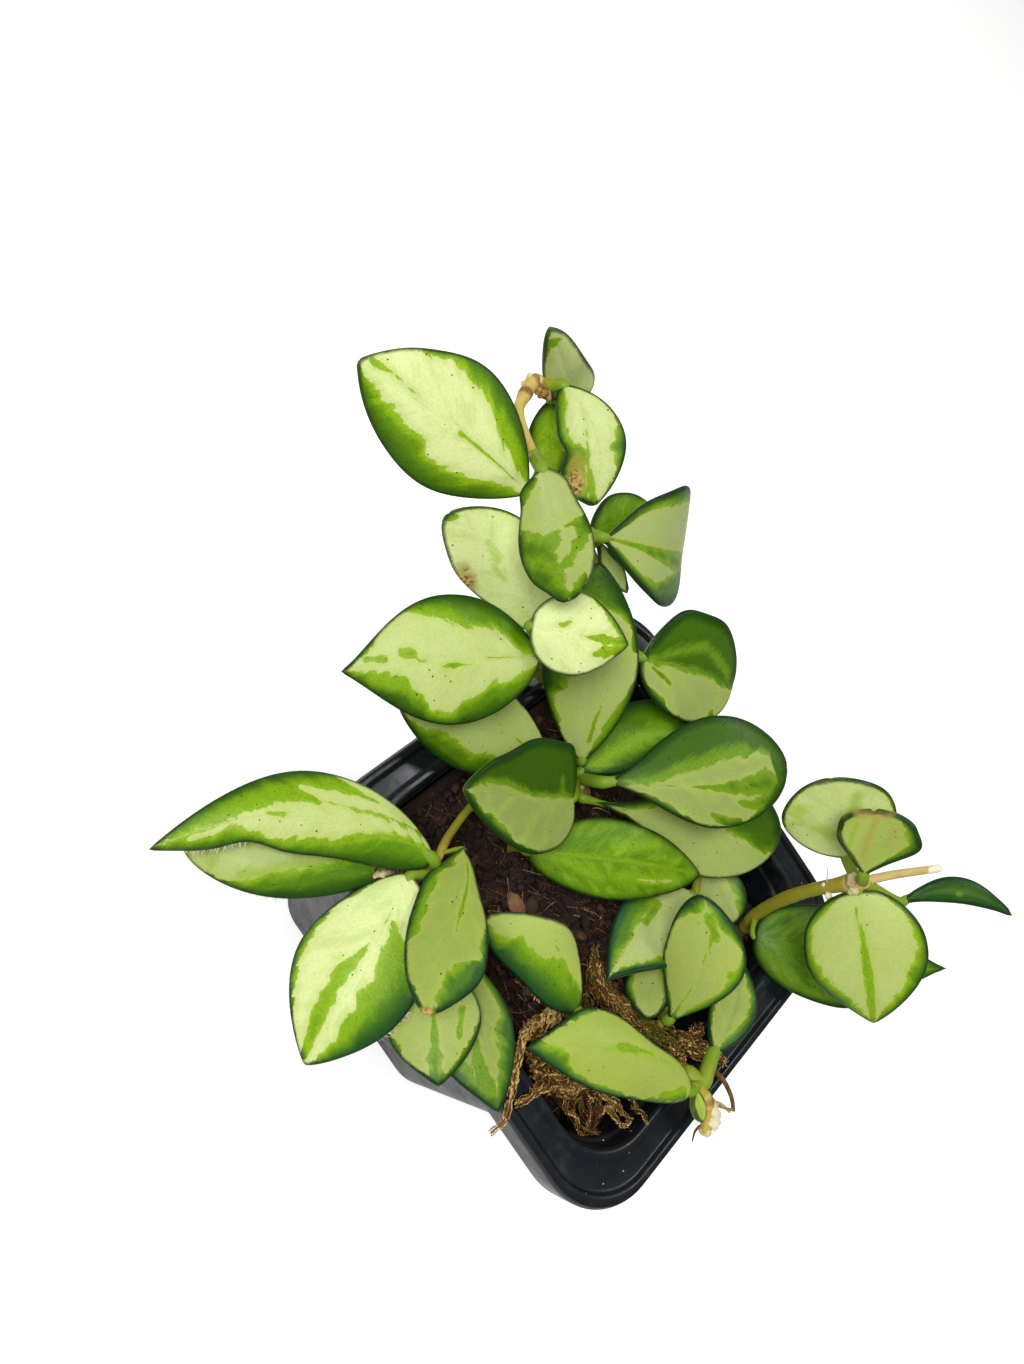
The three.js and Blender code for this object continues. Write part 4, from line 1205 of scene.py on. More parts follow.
# %% The left vine
left_vine_leaves = [
    # the long waved one on top
    Leaf((-24, -29, 76), (-49, -60, 68), 13.5, 9, (0.45, 0.6, 0.9), (0.1, 0.35, 0, 0.13),
         tone=(0.35, 0.25, 0.15), wave=0.8, petiole=1.2,
         right=[(0, 90), (13, 42), (27, 31), (39, 30), (53, 27), (62, 22), (74, 9), (100, -10)],
         left=[(5, 35), (13, 18), (21, 2), (33, -23), (37, -37), (50, -38), (57, -50), (61, -40), (66, -27),
               (73, -5), (76, 0), (100, 0)],
         green=[[(62, 9, 0.3), (55, 5, 0.4)]],
         pale=[[(52, 62, 0.3), (44, 47, 0.8), (33, 47, 0.9), (22, 57, 0.6), (14, 60, 0.3)],
               [(38, 100, 0.5), (29, 90, 0.9), (17, 78, 0.7), (8, 75, 0.3)],
               [(87, -24, 0.3), (79, -15, 0.4), (74, 0, 0.3)]],
         lime=[[(10, 62, 0.6), (30, 70, 1), (42, 75, 1)], [(45, 50, 1.2), (60, 50, 1.5), (80, 20, 1.3)],
               [(55, -50, 0.8), (40, -40, 0.6), (25, -10, 0.4)]],
         pushes=[(-1, 45, -1.4, 40), (-1, 68, -1.6, 10)], hairs=[(-1, 68, 92, 60)],
         stalk=[(-22.8, -30.2, 71.6), (-22.6, -28.6, 73.2)]),
    Leaf((-24, -31, 72), (-47, -55, 66), 10.5, 10, (0.6, 0.8, 0.5), (0.1, 0.3, 0, -0.03),
         tone=(0.4, 0.5, 0.2), left=[(10, 120), (31, 40), (51, -11), (64, -34), (76, -80), (97, -97)],
         pale=[[(79, -23, 1.4), (56, 17, 0.9), (21, 110, 0.5)]],
         faint=[[(90, 20, 2.2)], [(75, -50, 1), (55, -10, 0.9), (35, 30, 0.6)]], hairs=[(-1, 55, 75, 20)]),
    # the big pale one that hangs down
    Leaf((-24, -33, 75), (-11, -59, 66.5), 18, -24, (0.5, 0.6, 0.8), (0.08, 0.2, 0, -0.02),
         tone=(0.05, 0.05, 0.8), right=[(10, 84), (16, 90), (30, 94), (46, 96), (100, 94)],
         left=[(0, -120), (19, -110), (22.5, -9), (32, -15), (46, -22), (51, -27), (55, -16), (60, -17),
               (65, -30), (73, -16), (85, -34), (100, -20)],
         green=[[(21, 1, 0.1), (29, 3, 0.2), (38, 6, 0.25), (47, 15, 0.6), (54, 24, 1.1), (64, 26, 1),
                 (75, 30, 1.2), (96, 48, 0.5)]],
         pale=[[(5, -40, 2.4), (17, -46, 2.5), (29, -86, 2)]],
         lime=[[(23, -15, 0.6), (32, -30, 1.4), (50, -40, 1.6), (62, -36, 1.1), (80, -42, 0.9)],
               [(40, 8, 0.4), (55, 24, 0.7), (75, 30, 0.8)]],
         pushes=[(1, 62, 1.3, 30)], hairs=[(-1, 55, 75, 25)]),
    Leaf((-22, -23, 75), (-9, -46, 82.5), 12, -26, (0.55, 0.75, 0.6), (0.06, 0.15, 0, -0.02),
         tone=(0.9, 0.72, 0.6), petiole=0.35,
         right=[(4, 35), (17, 40), (19, 80), (25, 85), (31, 64), (40, 72), (49, 60), (56, 69), (61, 68),
                (64, 87), (85, 93), (93, 60), (100, 60)],
         left=[(5, -40), (15, -80), (30, -86), (50, -82), (60, -84), (68, -90), (72, -40), (80, -20),
               (90, -28), (100, -50)],
         green=[[(74, -70, 0.8), (82, -55, 1.2), (92, -50, 0.9)],
                [(11, -36, 0.1), (25, -31, 0.12), (38, -22, 0.35), (50, -17, 0.2), (57, -15, 0.08)]],
         lime=[[(30, 75, 0.8), (45, 75, 0.9), (60, 85, 0.8)]], scars=[[(100, 0, 0.6)]],
         pushes=[(1, 20, 1.5, 15), (-1, 25, -1.3, 20), (-1, 80, 1.5, 14)]),
    Leaf((-12, -37, 72.5), (2, -48, 75.5), 14, -26, (0.5, 0.6, 0.9), (0.03, 0.15, 0, 0),
         tone=(0.6, 0.7, 0.4),
         right=[(20, 95), (50, 105), (58, 90), (64, 78), (76, 92), (86, 88), (93, 64), (100, 50)],
         left=[(40, -110), (60, -85), (85, -70), (100, -50)],
         green=[[(45, -2, 0.35), (68, 0, 0.6), (80, 6, 1), (96, 10, 1)], [(44, -60, 0.5), (66, -55, 0.4)]],
         lime=[[(50, 90, 0.9), (62, 85, 0.9)], [(50, 0, 0.5), (75, 15, 0.5)]]),
    Leaf((-8, -32, 71), (11, -43, 76), 10, -16, (0.5, 0.6, 0.9), (0.06, 0.15, 0, 0), tone=(0.8, 1, 0.4),
         right=[(0, 90), (60, 90), (70, 60), (80, 75), (100, 60)],
         left=[(0, -70), (34, -69), (44, -66), (50, -32), (66, -36), (80, -20), (100, 0)],
         green=[[(52, 20, 0.2), (65, 35, 0.8), (80, 45, 1.3), (93, 50, 1.2)]],
         lime=[[(60, 30, 0.6), (85, 40, 1)], [(70, 90, 0.9)]], pushes=[(1, 70, 2, 25)]),
]
leafy_stem(
    "left_vine",
    rooted(-24, -5, [
        (-25, -13, 66), (-24, -21, 69), (-23, -26, 72), (-22, -29, 73), (-19, -30, 73), (-15, -32, 72),
        (-11, -33, 72), (-8, -34, 72),
    ]),
    0.72, left_vine_leaves,
    ages=[(0, 0.7), (0.2, 0.34), (0.45, 0.3), (0.6, 0.5), (1, 0.3)],
    knots=[((-22.7, -30, 72.3), 1.4)],
    lumps=[((-22.8, -31.8, 72.4), 1.2, 0.85, 0), ((-24, -33.2, 72), 1.1, 0.85, 0.1),
           ((-27.0, -36.6, 73.3), (0.45, 0.8, 0.6), 0.78, 0.3),
           ((-26.6, -35.9, 73.4), (0.5, 0.9, 0.6), 0.72, 0.4),
           ((-26.2, -35.2, 73.3), (0.5, 0.8, 0.6), 0.8, 0.2),
           ((-25.9, -34.5, 73.1), (0.6, 0.7, 0.7), 0.9, 0.1)],
    twigs=[([(-27.8, -36.8, 74), (-28.5, -35.4, 75.2), (-28.4, -34.6, 75.6), (-28, -33.5, 75.6),
             (-26.9, -33.3, 75),
             (-25.2, -33.6, 73.6)], 0.14, 0.11, 1.0),
           ([(-27, -36.6, 73), (-25.8, -34.5, 72.4), (-24.6, -32.6, 72.2)], 0.5, 0.8, 0.9)],
    seed=3,
)

# %% [markdown]
# ## The right vine
# It stands upright, on a smooth olive stem, and ends in a papery node with a small white bud and a cut
# stub.

# %% The right vine
right_vine_leaves = [
    Leaf((16, 23, 97), (2, 23, 104), 18, 56, (0.5, 0.55, 0.5), (0, 0.1, 0, 0), tone=(0.4, 0.12, 0.3),
         right=[(30, 100), (50, 89), (72, 95), (100, 90)], left=[(0, -90), (50, -95), (100, -90)],
         faint=[[(76, 42, 1), (55, 25, 1.2)], [(62, -72, 1.8)], [(45, -45, 0.8), (31, -12, 0.8)]]),
    Leaf((18, 19.5, 101.5), (8.4, 22.8, 108.3), 11.4, 42, (0.66, 0.6, 0.3), (0, -0.35, 0, 0),
         tone=(0.85, 0.45, 0.2), notch=0.8, wave=0.1, right=[(0, 70), (40, 92), (100, 97)],
         left=[(0, -70), (40, -92), (100, -97)], faint=[[(80, -50, 0.4), (50, -70, 0.4)], [(50, 20, 0.3)]],
         stains=[[(96, -80, 0.45), (93, 0, 0.5), (96, 70, 0.35)],
                 [(88, 10, 0.4), (55, -10, 0.5), (30, -30, 0.2)], [(75, 60, 0.3), (50, 50, 0.15)]],
         pushes=[(1, 60, 1.5, 35), (1, 93, 1, 10), (-1, 93, 1, 10), (-1, 40, -0.6, 30)]),
    # the heart-shaped one that faces the camera
    Leaf((22, 22, 96), (44, 16, 88), 20, -53, (0.46, 0.5, 0.85), (0.05, 0.1, 0, 0), tone=(0.6, 0.2, 0.3),
         right=[(13, 72), (25, 86), (43, 83), (56, 76), (67, 70), (75, 56), (100, 30)],
         left=[(15, -82), (29, -86), (42, -82), (57, -70), (72, -64), (83, -50), (100, -20)],
         green=[[(11, 10, 0.2), (32, 2, 0.5), (56, 0, 0.8), (95, 6, 0.5)]],
         lime=[[(20, 6, 0.4), (50, 0, 0.5), (90, 5, 0.5)]]),
    # the dark one below the heart-shaped leaf: its full dullness is painted shade from that leaf
    Leaf((26, 18, 71), (53, 42, 84), 18, -11, (0.42, 0.5, 1.35), (0.05, 0.15, 0, 0.03), ground=0.8,
         tone=(1, 1, 0), petiole=0.6, right=[(4, 100), (24, 78), (35, 78), (60, 85), (100, 80)],
         left=[(0, -80), (50, -90), (70, -80), (85, -20), (93, 60), (100, 100)],
         lime=[[(50, 50, 2.2), (75, 20, 2)]]),
    Leaf((29, 28, 97), (41, 39, 106), 4.5, -13, (0.5, 0.8, 0.8), (0, 0, 0, -0.17), tone=(0.5, 0.8, 0.3),
         right=ALL_GREEN, lime=[[(50, 30, 0.3)]]),
]
leafy_stem(
    "right_vine",
    rooted(28, 24, [
        (25, 22, 67.5), (22.6, 21.6, 74), (21, 21.4, 81), (20.2, 21.4, 88), (20.4, 22, 93), (21, 23, 97),
    ]),
    1.2, right_vine_leaves,
    ages=[(0, 0.8), (0.15, 0.6), (0.25, 0.38), (0.8, 0.32), (0.92, 0.4), (1, 0.6)],
    knots=[((20.6, 22.4, 95.6), 1.7), ((27, 22.4, 64.5), 1.6)],
    lumps=[((19.8, 21.8, 96.6), 1.3, 0.7, 0.3), ((20.6, 22.8, 97.4), 1.2, 0.72, 0.4),
           ((21.4, 21.6, 96), 1.1, 0.66, 0.4),
           ((21.3, 20.3, 91.2), (0.9, 0.7, 0.7), 0.3, 1.0), ((19.4, 21, 91), 0.45, 0.4, 1.0)],
    twigs=[([(21, 23, 97), (23, 27, 100), (26, 32, 104)], 0.8, 0.65, 0.64, 0.1, 0.7),
           ([(25.4, 31, 103.2), (26.1, 32.2, 104.2)], 0.7, 0.66, 0.5, 1.0, 0.7),
           ([(19, 20.8, 92.1), (17.4, 20.4, 93.6), (16.2, 20.5, 94.5)], 0.12, 0.07, 0.6, 0.5)],
    seed=4,
)

# %% [markdown]
# ## The creeping shoots and the two low leaves
# Two shoots creep through the moss, and two leaves stand in the soil on petioles of their own. The low
# leaves are shaded by the others, and that shade is painted into their tones, which are duller; their
# margins are bluer.

# %% The centre shoot
centre_shoot_leaves = [
    Leaf((10, 24, 63.5), (24, 20, 65.5), 10, -36, (0.6, 0.6, 0.5), tone=(0.7, 0.7, 0.2),
         right=[(0, 90), (100, 85)], left=[(0, -50), (54, -55), (100, -40)]),
    Leaf((14, 16, 65), (12, -12, 69), 12, -21, (0.45, 0.6, 1), (0.03, -0.1, 0, 0.06), tone=(0.2, 0.55, 1),
         right=[(15, 61), (42, 23), (55, 27), (64, 9), (82, 3), (100, 0)],
         left=[(40, -110), (60, -105), (79, -90), (89, -50), (100, -20)],
         green=[[(32, 28, 0.9), (50, 9, 0.8)]], pushes=[(-1, 60, 2.2, 30)]),
    Leaf((26, -5, 67), (10, 7, 80), 14, 43, (0.55, 0.9, 0.55), (0.04, 0.15, 0, 0.12), tone=(0.8, 0.4, 0.8),
         petiole=1.1, right=[(0, 30), (26, 57), (45, 66), (61, 87), (73, 84), (81, 42), (88, 20), (100, 0)],
         left=[(0, -40), (17, -73), (31, -81), (48, -93), (66, -100), (77, -92), (85, -60), (89, -13),
               (100, 0)],
         green=[[(5, -10, 0.5), (18, -16, 0.15), (50, -4, 0.12), (75, 14, 0.3)],
                [(87, 6, 0.9), (76, 23, 0.9)], [(50, 72, 0.8)]],
         lime=[[(0, 0, 1.2), (12, -10, 0.9)], [(85, 10, 0.8)]]),
    Leaf((17, 2, 63), (24, -7, 65), 8.5, -37, tone=(0.7, 0.6, 0.5), right=[(0, 60), (100, 70)],
         left=[(0, -60), (100, -70)]),
]
leafy_stem(
    "centre_shoot",
    rooted(28, -4, [(26, -3, 64), (21, 3, 64), (17, 10, 64), (15, 17, 64), (11, 23, 64)]),
    0.8, centre_shoot_leaves, ages=[(0, 0.7), (0.4, 0.4), (1, 0.3)], seed=5,
)

# %% The corner shoot
corner_shoot_leaves = [
    Leaf((33, -5, 73), (26, 10, 74), 8, 38, (0.5, 0.8, 0.7), (0, 0, 0, 0.06), tone=(0.7, 0.85, 0.5),
         petiole=1.3, right=[(0, 30), (16, 30), (37, 55), (68, 65), (87, 40), (100, 10)],
         left=[(0, -70), (100, -80)], lime=[[(50, 72, 0.6)]],
         stalk=[(34.6, -10.2, 73.6), (33.9, -8.4, 73.6)]),
    Leaf((33, -14, 75), (8, -33, 74), 12.5, 7, (0.5, 0.5, 1), (0.06, 0.35, 0, 0.09), tone=(0.95, 0.4, 1),
         right=[(0, 85), (50, 93), (100, 90)],
         left=[(0, -60), (8, -72), (20, -82), (30, -88), (47, -82), (66, -76), (74, -70), (79, -25),
               (88, 10), (95, 60), (100, 100)],
         green=[[(54, 16, 0.5), (44, 19, 0.7)], [(43, 21, 0.3), (25, 32, 0.1)],
                [(18, -70, 0.8), (6, -36, 0.9)]],
         lime=[[(55, 16, 0.9), (45, 18, 0.9)]], faint=[[(60, 5, 0.5), (20, 30, 0.2)]],
         pushes=[(1, 30, -2.6, 22), (1, 74, 1.2, 14)]),
    # the small yellowish sheath at the leaf's foot
    Leaf((33.4, -12.6, 74.4), (38.4, -14.9, 74.2), 3.6, 10, (0.55, 0.6, 0.6), (0.05, -0.2, 0, 0.1),
         tone=(0.9, 0.1, 0), wave=0.1, faint=[[(0, 0, 1), (70, 0, 0.6)]]),
]
leafy_stem(
    "corner_shoot",
    rooted(29, -10, [
        (30, -10, 67), (33, -11, 73), (36.6, -12, 74.1), (38.6, -13.2, 73.9), (40, -14.8, 73.7),
    ]),
    0.95, corner_shoot_leaves, ages=[(0, 0.7), (0.4, 0.1), (0.65, 0.3), (0.8, 0.44), (1, 0.5)],
    knots=[((36.8, -12, 74), 1.4)],
    lumps=[((38.9, -12.2, 74.5), (1.4, 1.2, 1.2), 0.6, 0.7),
           ((39.9, -13.2, 74.4), (1.3, 1.2, 1.3), 0.62, 0.8),
           ((38, -11.3, 74.3), (1.0, 0.9, 0.9), 0.6, 0.4), ((40.1, -15, 73.6), 1.1, 0.5, 0.5),
           ((37.4, -11.2, 73), 1.1, 0.8, 0.1)],
    twigs=[([(34.4, -7.1, 73.6), (36.4, -7.3, 74.8), (39.4, -8, 75), (41.3, -8.8, 74.6)], 0.5, 0.32, 0.92),
           ([(37.6, -11, 73.6), (39.2, -9.9, 74.2), (41, -9.6, 74.5)], 0.3, 0.22, 0.75, 0.2),
           ([(41.3, -8.8, 74.6), (40.4, -9.6, 74.6), (39.2, -10.4, 74)], 0.28, 0.2, 0.85, 0.1),
           ([(39.2, -15, 73), (39.6, -15.7, 72.2), (41, -16.6, 71)], 0.25, 0.12, 0.9)],
    seed=6,
)

# %% The two low leaves
leafy_stem(
    "broad_leaf", rooted(-14, -8, [(-13.6, -8.4, 65)]), 0.8,
    [Leaf((-13, -9, 66.5), (10, 15, 71.5), 14, -13, (0.47, 0.6, 0.7), (0.05, 0.15, 0, -0.02), ground=1.1,
          tone=(0.8, 0.4, 0), pale=[[(60, 42, 0.15), (70, 46, 0.25), (82, 46, 0.15)]],
          lime=[[(8, 7, 0.5), (24, 26, 0.5)], [(45, -30, 0.7), (70, -62, 0.8)],
                [(66, -22, 0.4), (75, -34, 0.4)], [(50, 38, 0.9), (85, 46, 0.9)],
                [(27, 35, 0.7), (40, 50, 0.7)], [(5, 0, 0.2), (95, 0, 0.2)]])],
    ages=[(0, 0.4), (1, 0.1)], seed=7,
)
leafy_stem(
    "near_leaf", rooted(15, -17, [(13.8, -17.6, 65)]), 0.8,
    [Leaf((13, -18, 66), (-10, -24, 69), 11, 23, (0.5, 0.6, 0.6), (0.05, 0.2, 0, 0.03),
          tone=(0.8, 0.3, 0.9),
          left=[(0, 90), (13, 71), (28, 58), (41, 58), (50, 30), (53, 25), (65, 22), (72, 42), (76, 25),
                (79, -3), (86, -10), (95, -22), (100, -20)],
          green=[[(24, 40, 0.7), (39, 63, 0.3), (51, 77, 0.2)]],
          lime=[[(20, 20, 0.5), (42, 30, 1), (53, 10, 0.6), (65, 12, 0.5), (73, 20, 0.6)]],
          pushes=[(1, 45, 2.4, 35), (-1, 50, -1.8, 35)])],
    ages=[(0, 0.4), (1, 0.1)], seed=8,
)

# %% [markdown]
# ## The pot
# A thin moulded pot has soft corners everywhere, and the light on them is what says plastic. The packed
# solid has few corner steps, so the same section is swept again round a finer rounded square, and each
# bend of the section gets a small arc. The drain holes are cut with a boolean modifier that is applied.

# %% The pot's shape
RIM_SIDE = 80
BASE_SIDE = 56
POT_HEIGHT = 70
RIM_CORNER = 12
BASE_CORNER = 9
WALL = 1.3
FLOOR = 1.6
SKIRT_HEIGHT = 7.5
LIP_WIDTH = 1.6
BAND_WIDTH = 3.8
BEAD_WIDTH = 1.4
BAND_DEPTH = 0.7
BEAD_DROP = 0.3
LEDGE_WIDTH = 1.0
LEDGE_DEPTH = 4.2
DRAIN_RADIUS = 3.2
DRAIN_SPACING = 17
CORNER_STEPS = 14
EASE = 0.4
EASE_STEPS = 3
BEND_RADIUS = 0.35

rim_half = RIM_SIDE / 2
mouth_half = rim_half - LIP_WIDTH - BAND_WIDTH - BEAD_WIDTH
ledge_half = mouth_half - LEDGE_WIDTH
ledge_height = POT_HEIGHT - LEDGE_DEPTH


def wall_half(z):
    """From the pot's middle to the outside of its wall, at a height."""
    return BASE_SIDE / 2 + (ledge_half + WALL - BASE_SIDE / 2) * z / ledge_height


def inner_half(z):
    """From the pot's middle to the inside of its wall, at a height."""
    return wall_half(z) - WALL


def corner_at(half):
    """The corner radius of a rounded square. It grows from the base to the rim."""
    share = (half - BASE_SIDE / 2) / (rim_half - BASE_SIDE / 2)
    return BASE_CORNER + (RIM_CORNER - BASE_CORNER) * share


def rounded_square(half, corner, z, steps=CORNER_STEPS):
    """A square outline with round corners, at one height."""
    points = []
    for side in range(4):
        middle = math.pi / 2 * (side + 0.5)
        reach = (half - corner) * math.sqrt(2)
        for k in range(steps + 1):
            angle = math.pi / 2 * (side + k / steps)
            points.append((reach * math.cos(middle) + corner * math.cos(angle),
                           reach * math.sin(middle) + corner * math.sin(angle), z))
    return np.array(points)


def eased(section, radius):
    """The section with each inner bend replaced by a short arc."""
    section = np.array(section, float)
    points = [section[0]]
    for before, bend, after in zip(section, section[1:], section[2:]):
        to_before, to_after = before - bend, after - bend
        room = min(radius, 0.45 * np.linalg.norm(to_before), 0.45 * np.linalg.norm(to_after))
        start = bend + unit(to_before) * room
        end = bend + unit(to_after) * room
        for t in np.linspace(0, 1, EASE_STEPS + 1):
            points.append((1 - t) ** 2 * start + 2 * t * (1 - t) * bend + t * t * end)
    return np.array([*points, section[-1]])


print("half the rim is", rim_half, "mm, half the mouth is", round(mouth_half, 2), "mm")

# %% The pot's section
skirt_top = POT_HEIGHT - 2.5
skirt_inner = rim_half - 1.5 * WALL
band_outer = rim_half - LIP_WIDTH - EASE
band_inner = mouth_half + BEAD_WIDTH
pot_section = eased([
    (BASE_SIDE / 2 - 2 * EASE - 3, 0),
    (BASE_SIDE / 2 - EASE, 0),
    (wall_half(2 * EASE), 2 * EASE),
    (wall_half(skirt_top), skirt_top),
    (skirt_inner, skirt_top),
    (skirt_inner - EASE, POT_HEIGHT - SKIRT_HEIGHT),
    (rim_half - 1.5 * EASE, POT_HEIGHT - SKIRT_HEIGHT),
    (rim_half, POT_HEIGHT - 3 * EASE),
    (rim_half - EASE, POT_HEIGHT),
    (rim_half - LIP_WIDTH, POT_HEIGHT),
    (band_outer, POT_HEIGHT - BAND_DEPTH),
    (band_inner + EASE, POT_HEIGHT - BAND_DEPTH),
    (band_inner, POT_HEIGHT - BEAD_DROP),
    (mouth_half + EASE, POT_HEIGHT - BEAD_DROP),
    (mouth_half, POT_HEIGHT - BEAD_DROP - EASE),
    (mouth_half - EASE, ledge_height + EASE),
    (ledge_half, ledge_height),
    (inner_half(FLOOR), FLOOR),
    (inner_half(FLOOR) - 3, FLOOR),
], BEND_RADIUS)


def pot_part():
    """The section swept round rounded squares. Its two ends meet the floor's middle, below and above."""
    rings = [rounded_square(half, corner_at(half), z) for half, z in pot_section]
    poles = [(0, 0, pot_section[0][1]), (0, 0, pot_section[-1][1])]
    return np.vstack([*rings, poles]), closed_rings(len(rings), len(rings[0]))


print("the pot's section has", len(pot_section), "points")

# %% Material: moulded plastic
pot_finish, w, shader = new_material("black plastic", IOR=1.5, Specular_IOR_Level=0.33)
place = w.place()
grain = w.group(grain_group, Place=place, Scale=900.0, Pebble=0.2)
streaks = w.noise(w.stretch(place, (300.0, 300.0, 25.0)), 1.0, 4.0, 0.6)
dust = w.ease(w.noise(place, 90.0, 6.0, 0.7), 0.5, 0.72)
grit = w.group(specks_group, Place=place, Scale=700.0, Size=0.11, Share=0.12)["Mask"]
plastic = w.mix(w.ease(streaks, 0.4, 0.7, 0.0, 0.3), colour(12, 16, 22), colour(23, 30, 39))
plastic = w.mix(w.times(dust, 0.1), plastic, colour(120, 118, 110))
plastic = w.mix(w.times(grit, 0.75), plastic, colour(190, 190, 184))
satin = w.plus(w.mottled(grain, 0.27, 0.4), dust, 0.1)
dress(w, shader, plastic, satin, grain["Height"], distance=0.02 * MM, strength=0.7)

# %% The pot as a piece
SHARP_ANGLE = math.radians(50)

pot_skin = Skin()
pot_skin.add(pot_part())
pot = pot_skin.build("nursery_pot", "pot", [pot_finish], [])


def cut_drains(pot):
    """Cuts eight drain holes through the floor with one boolean."""
    cutter = bmesh.new()
    for x in (-1, 0, 1):
        for y in (-1, 0, 1):
            if x == 0 and y == 0:
                continue
            spot = Matrix.Translation(Vector((x * DRAIN_SPACING, y * DRAIN_SPACING, FLOOR / 2)) * MM)
            bmesh.ops.create_cone(
                cutter, cap_ends=True, segments=40, depth=3 * FLOOR * MM, matrix=spot,
                radius1=DRAIN_RADIUS * MM, radius2=DRAIN_RADIUS * MM,
            )
    mesh = bpy.data.meshes.new("drains")
    cutter.to_mesh(mesh)
    cutter.free()
    drains = bpy.data.objects.new("drains", mesh)
    scene.collection.objects.link(drains)
    cut = pot.modifiers.new("drain holes", "BOOLEAN")
    cut.operation = "DIFFERENCE"
    cut.solver = "EXACT"
    cut.object = drains
    whole = bpy.data.meshes.new_from_object(pot.evaluated_get(bpy.context.evaluated_depsgraph_get()))
    pot.modifiers.remove(cut)
    pot.data = whole
    bpy.data.objects.remove(drains)


cut_drains(pot)
pot.data.set_sharp_from_angle(angle=SHARP_ANGLE)
print("pot:", len(pot.data.polygons), "faces")

# %% [markdown]
# ## The soil
# The mix is dark bark and coir: crumbs of all sizes, many short fibres and a few chips. A bump map on a
# flat top looks like paint. Here the surface is a fine grid with lumps of its own, and thousands of small
# uneven crumbs and bent fibres lie half sunk in it, all as real faces.

# %% The soil's form
SOIL_DIP = 11
DIP_REACH = 13
CLEARANCE = 0.3
SOIL_RINGS = 72
SOIL_CORNER_STEPS = 40
# how high and how fine the lumps are
SOIL_LUMPS = ((1.1, 0.45), (0.8, 1.1), (0.35, 2.6))


def soil_height(x, y):
    """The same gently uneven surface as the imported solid, sunk at the +X -Y corner."""
    lumps = 0.7 * np.sin(0.33 * x + 1) * np.cos(0.29 * y) + 0.4 * np.sin(0.7 * y + 0.5 * x)
    from_corner = np.hypot(x - mouth_half, y + mouth_half) / DIP_REACH
    return SOIL_LEVEL + lumps - SOIL_DIP * np.exp(-from_corner ** 2)


def soil_body():
    """The soil's body, with a lumpy top of many rings."""
    def half_at(z):
        return inner_half(z) - CLEARANCE - 0.1

    bottom = FLOOR + CLEARANCE
    rings = [rounded_square(half_at(bottom), corner_at(half_at(bottom)), bottom, SOIL_CORNER_STEPS)]
    edge = half_at(SOIL_LEVEL)
    for share in np.linspace(1, 0.015, SOIL_RINGS):
        ring = rounded_square(edge * share, corner_at(edge) * share, 0, SOIL_CORNER_STEPS)
        ring[:, 2] = soil_height(ring[:, 0], ring[:, 1])
        if share > 0.97:
            half = np.minimum(half_at(ring[:, 2]), edge)
            ring[:, :2] *= (half / edge)[:, None]
        for point in ring:
            spot = Vector((point[0], point[1], 0))
            point[2] += sum(height * noise.noise(spot * fineness) for height, fineness in SOIL_LUMPS)
        rings.append(ring)
    centre = np.mean(rings[-1], axis=0)
    points = np.vstack([*rings, [(0, 0, bottom)], centre])
    return points, closed_rings(len(rings), len(rings[0]))


print("the low corner of the soil is at", round(float(soil_height(30, -30)), 1), "mm")

# %% Material: soil
soil_finish, w, shader = new_material("potting mix", IOR=1.4)
tint = w.parts(w.attribute("bark"))[0]
grain = w.group(grain_group, Place=w.place(), Scale=1400.0, Pebble=0.6)
shade = w.plus(tint, w.centred(grain["Mottle"]), 0.8)
earth = w.ramp(shade, [
    (0.0, 28, 17, 13), (0.3, 58, 36, 27), (0.55, 98, 64, 45), (0.8, 150, 112, 78), (1.0, 196, 168, 128),
])
matt = w.mottled(grain, 0.75, 0.95)
dress(w, shader, earth, matt, grain["Height"], distance=0.25 * MM, strength=1.0)

# %% Crumbs on the soil
CRUMBS = 1900
soil_rng = np.random.default_rng(21)
soil_skin = Skin()
soil_skin.add(soil_body(), bark=(0.16, 0, 0))


def on_soil(rng, margin):
    """A random place on the soil, clear of the pot's wall."""
    reach = inner_half(SOIL_LEVEL) - margin
    x, y = rng.uniform(-reach, reach, 2)
    return x, y, soil_height(x, y)


for number in range(CRUMBS):
    size = 0.35 + 1.1 * soil_rng.random() ** 3
    x, y, z = on_soil(soil_rng, 1.2 + size)
    radii = size * soil_rng.uniform((0.7, 0.5, 0.35), (1.6, 1.0, 0.8))
    level = 2 if size > 0.8 else 1
    crumb = lump((x, y, z + 0.35 * size + soil_rng.uniform(-0.2, 0.5)), radii, soil_rng, 0.7, level)
    soil_skin.add(crumb, bark=(soil_rng.uniform(0.02, 0.55) ** 1.25, 0, 0))
print(CRUMBS, "crumbs")

# %% Fibres on the soil
FIBRES = 2050
FIBRE_STEPS = 3
FIBRE_SIDES = 3

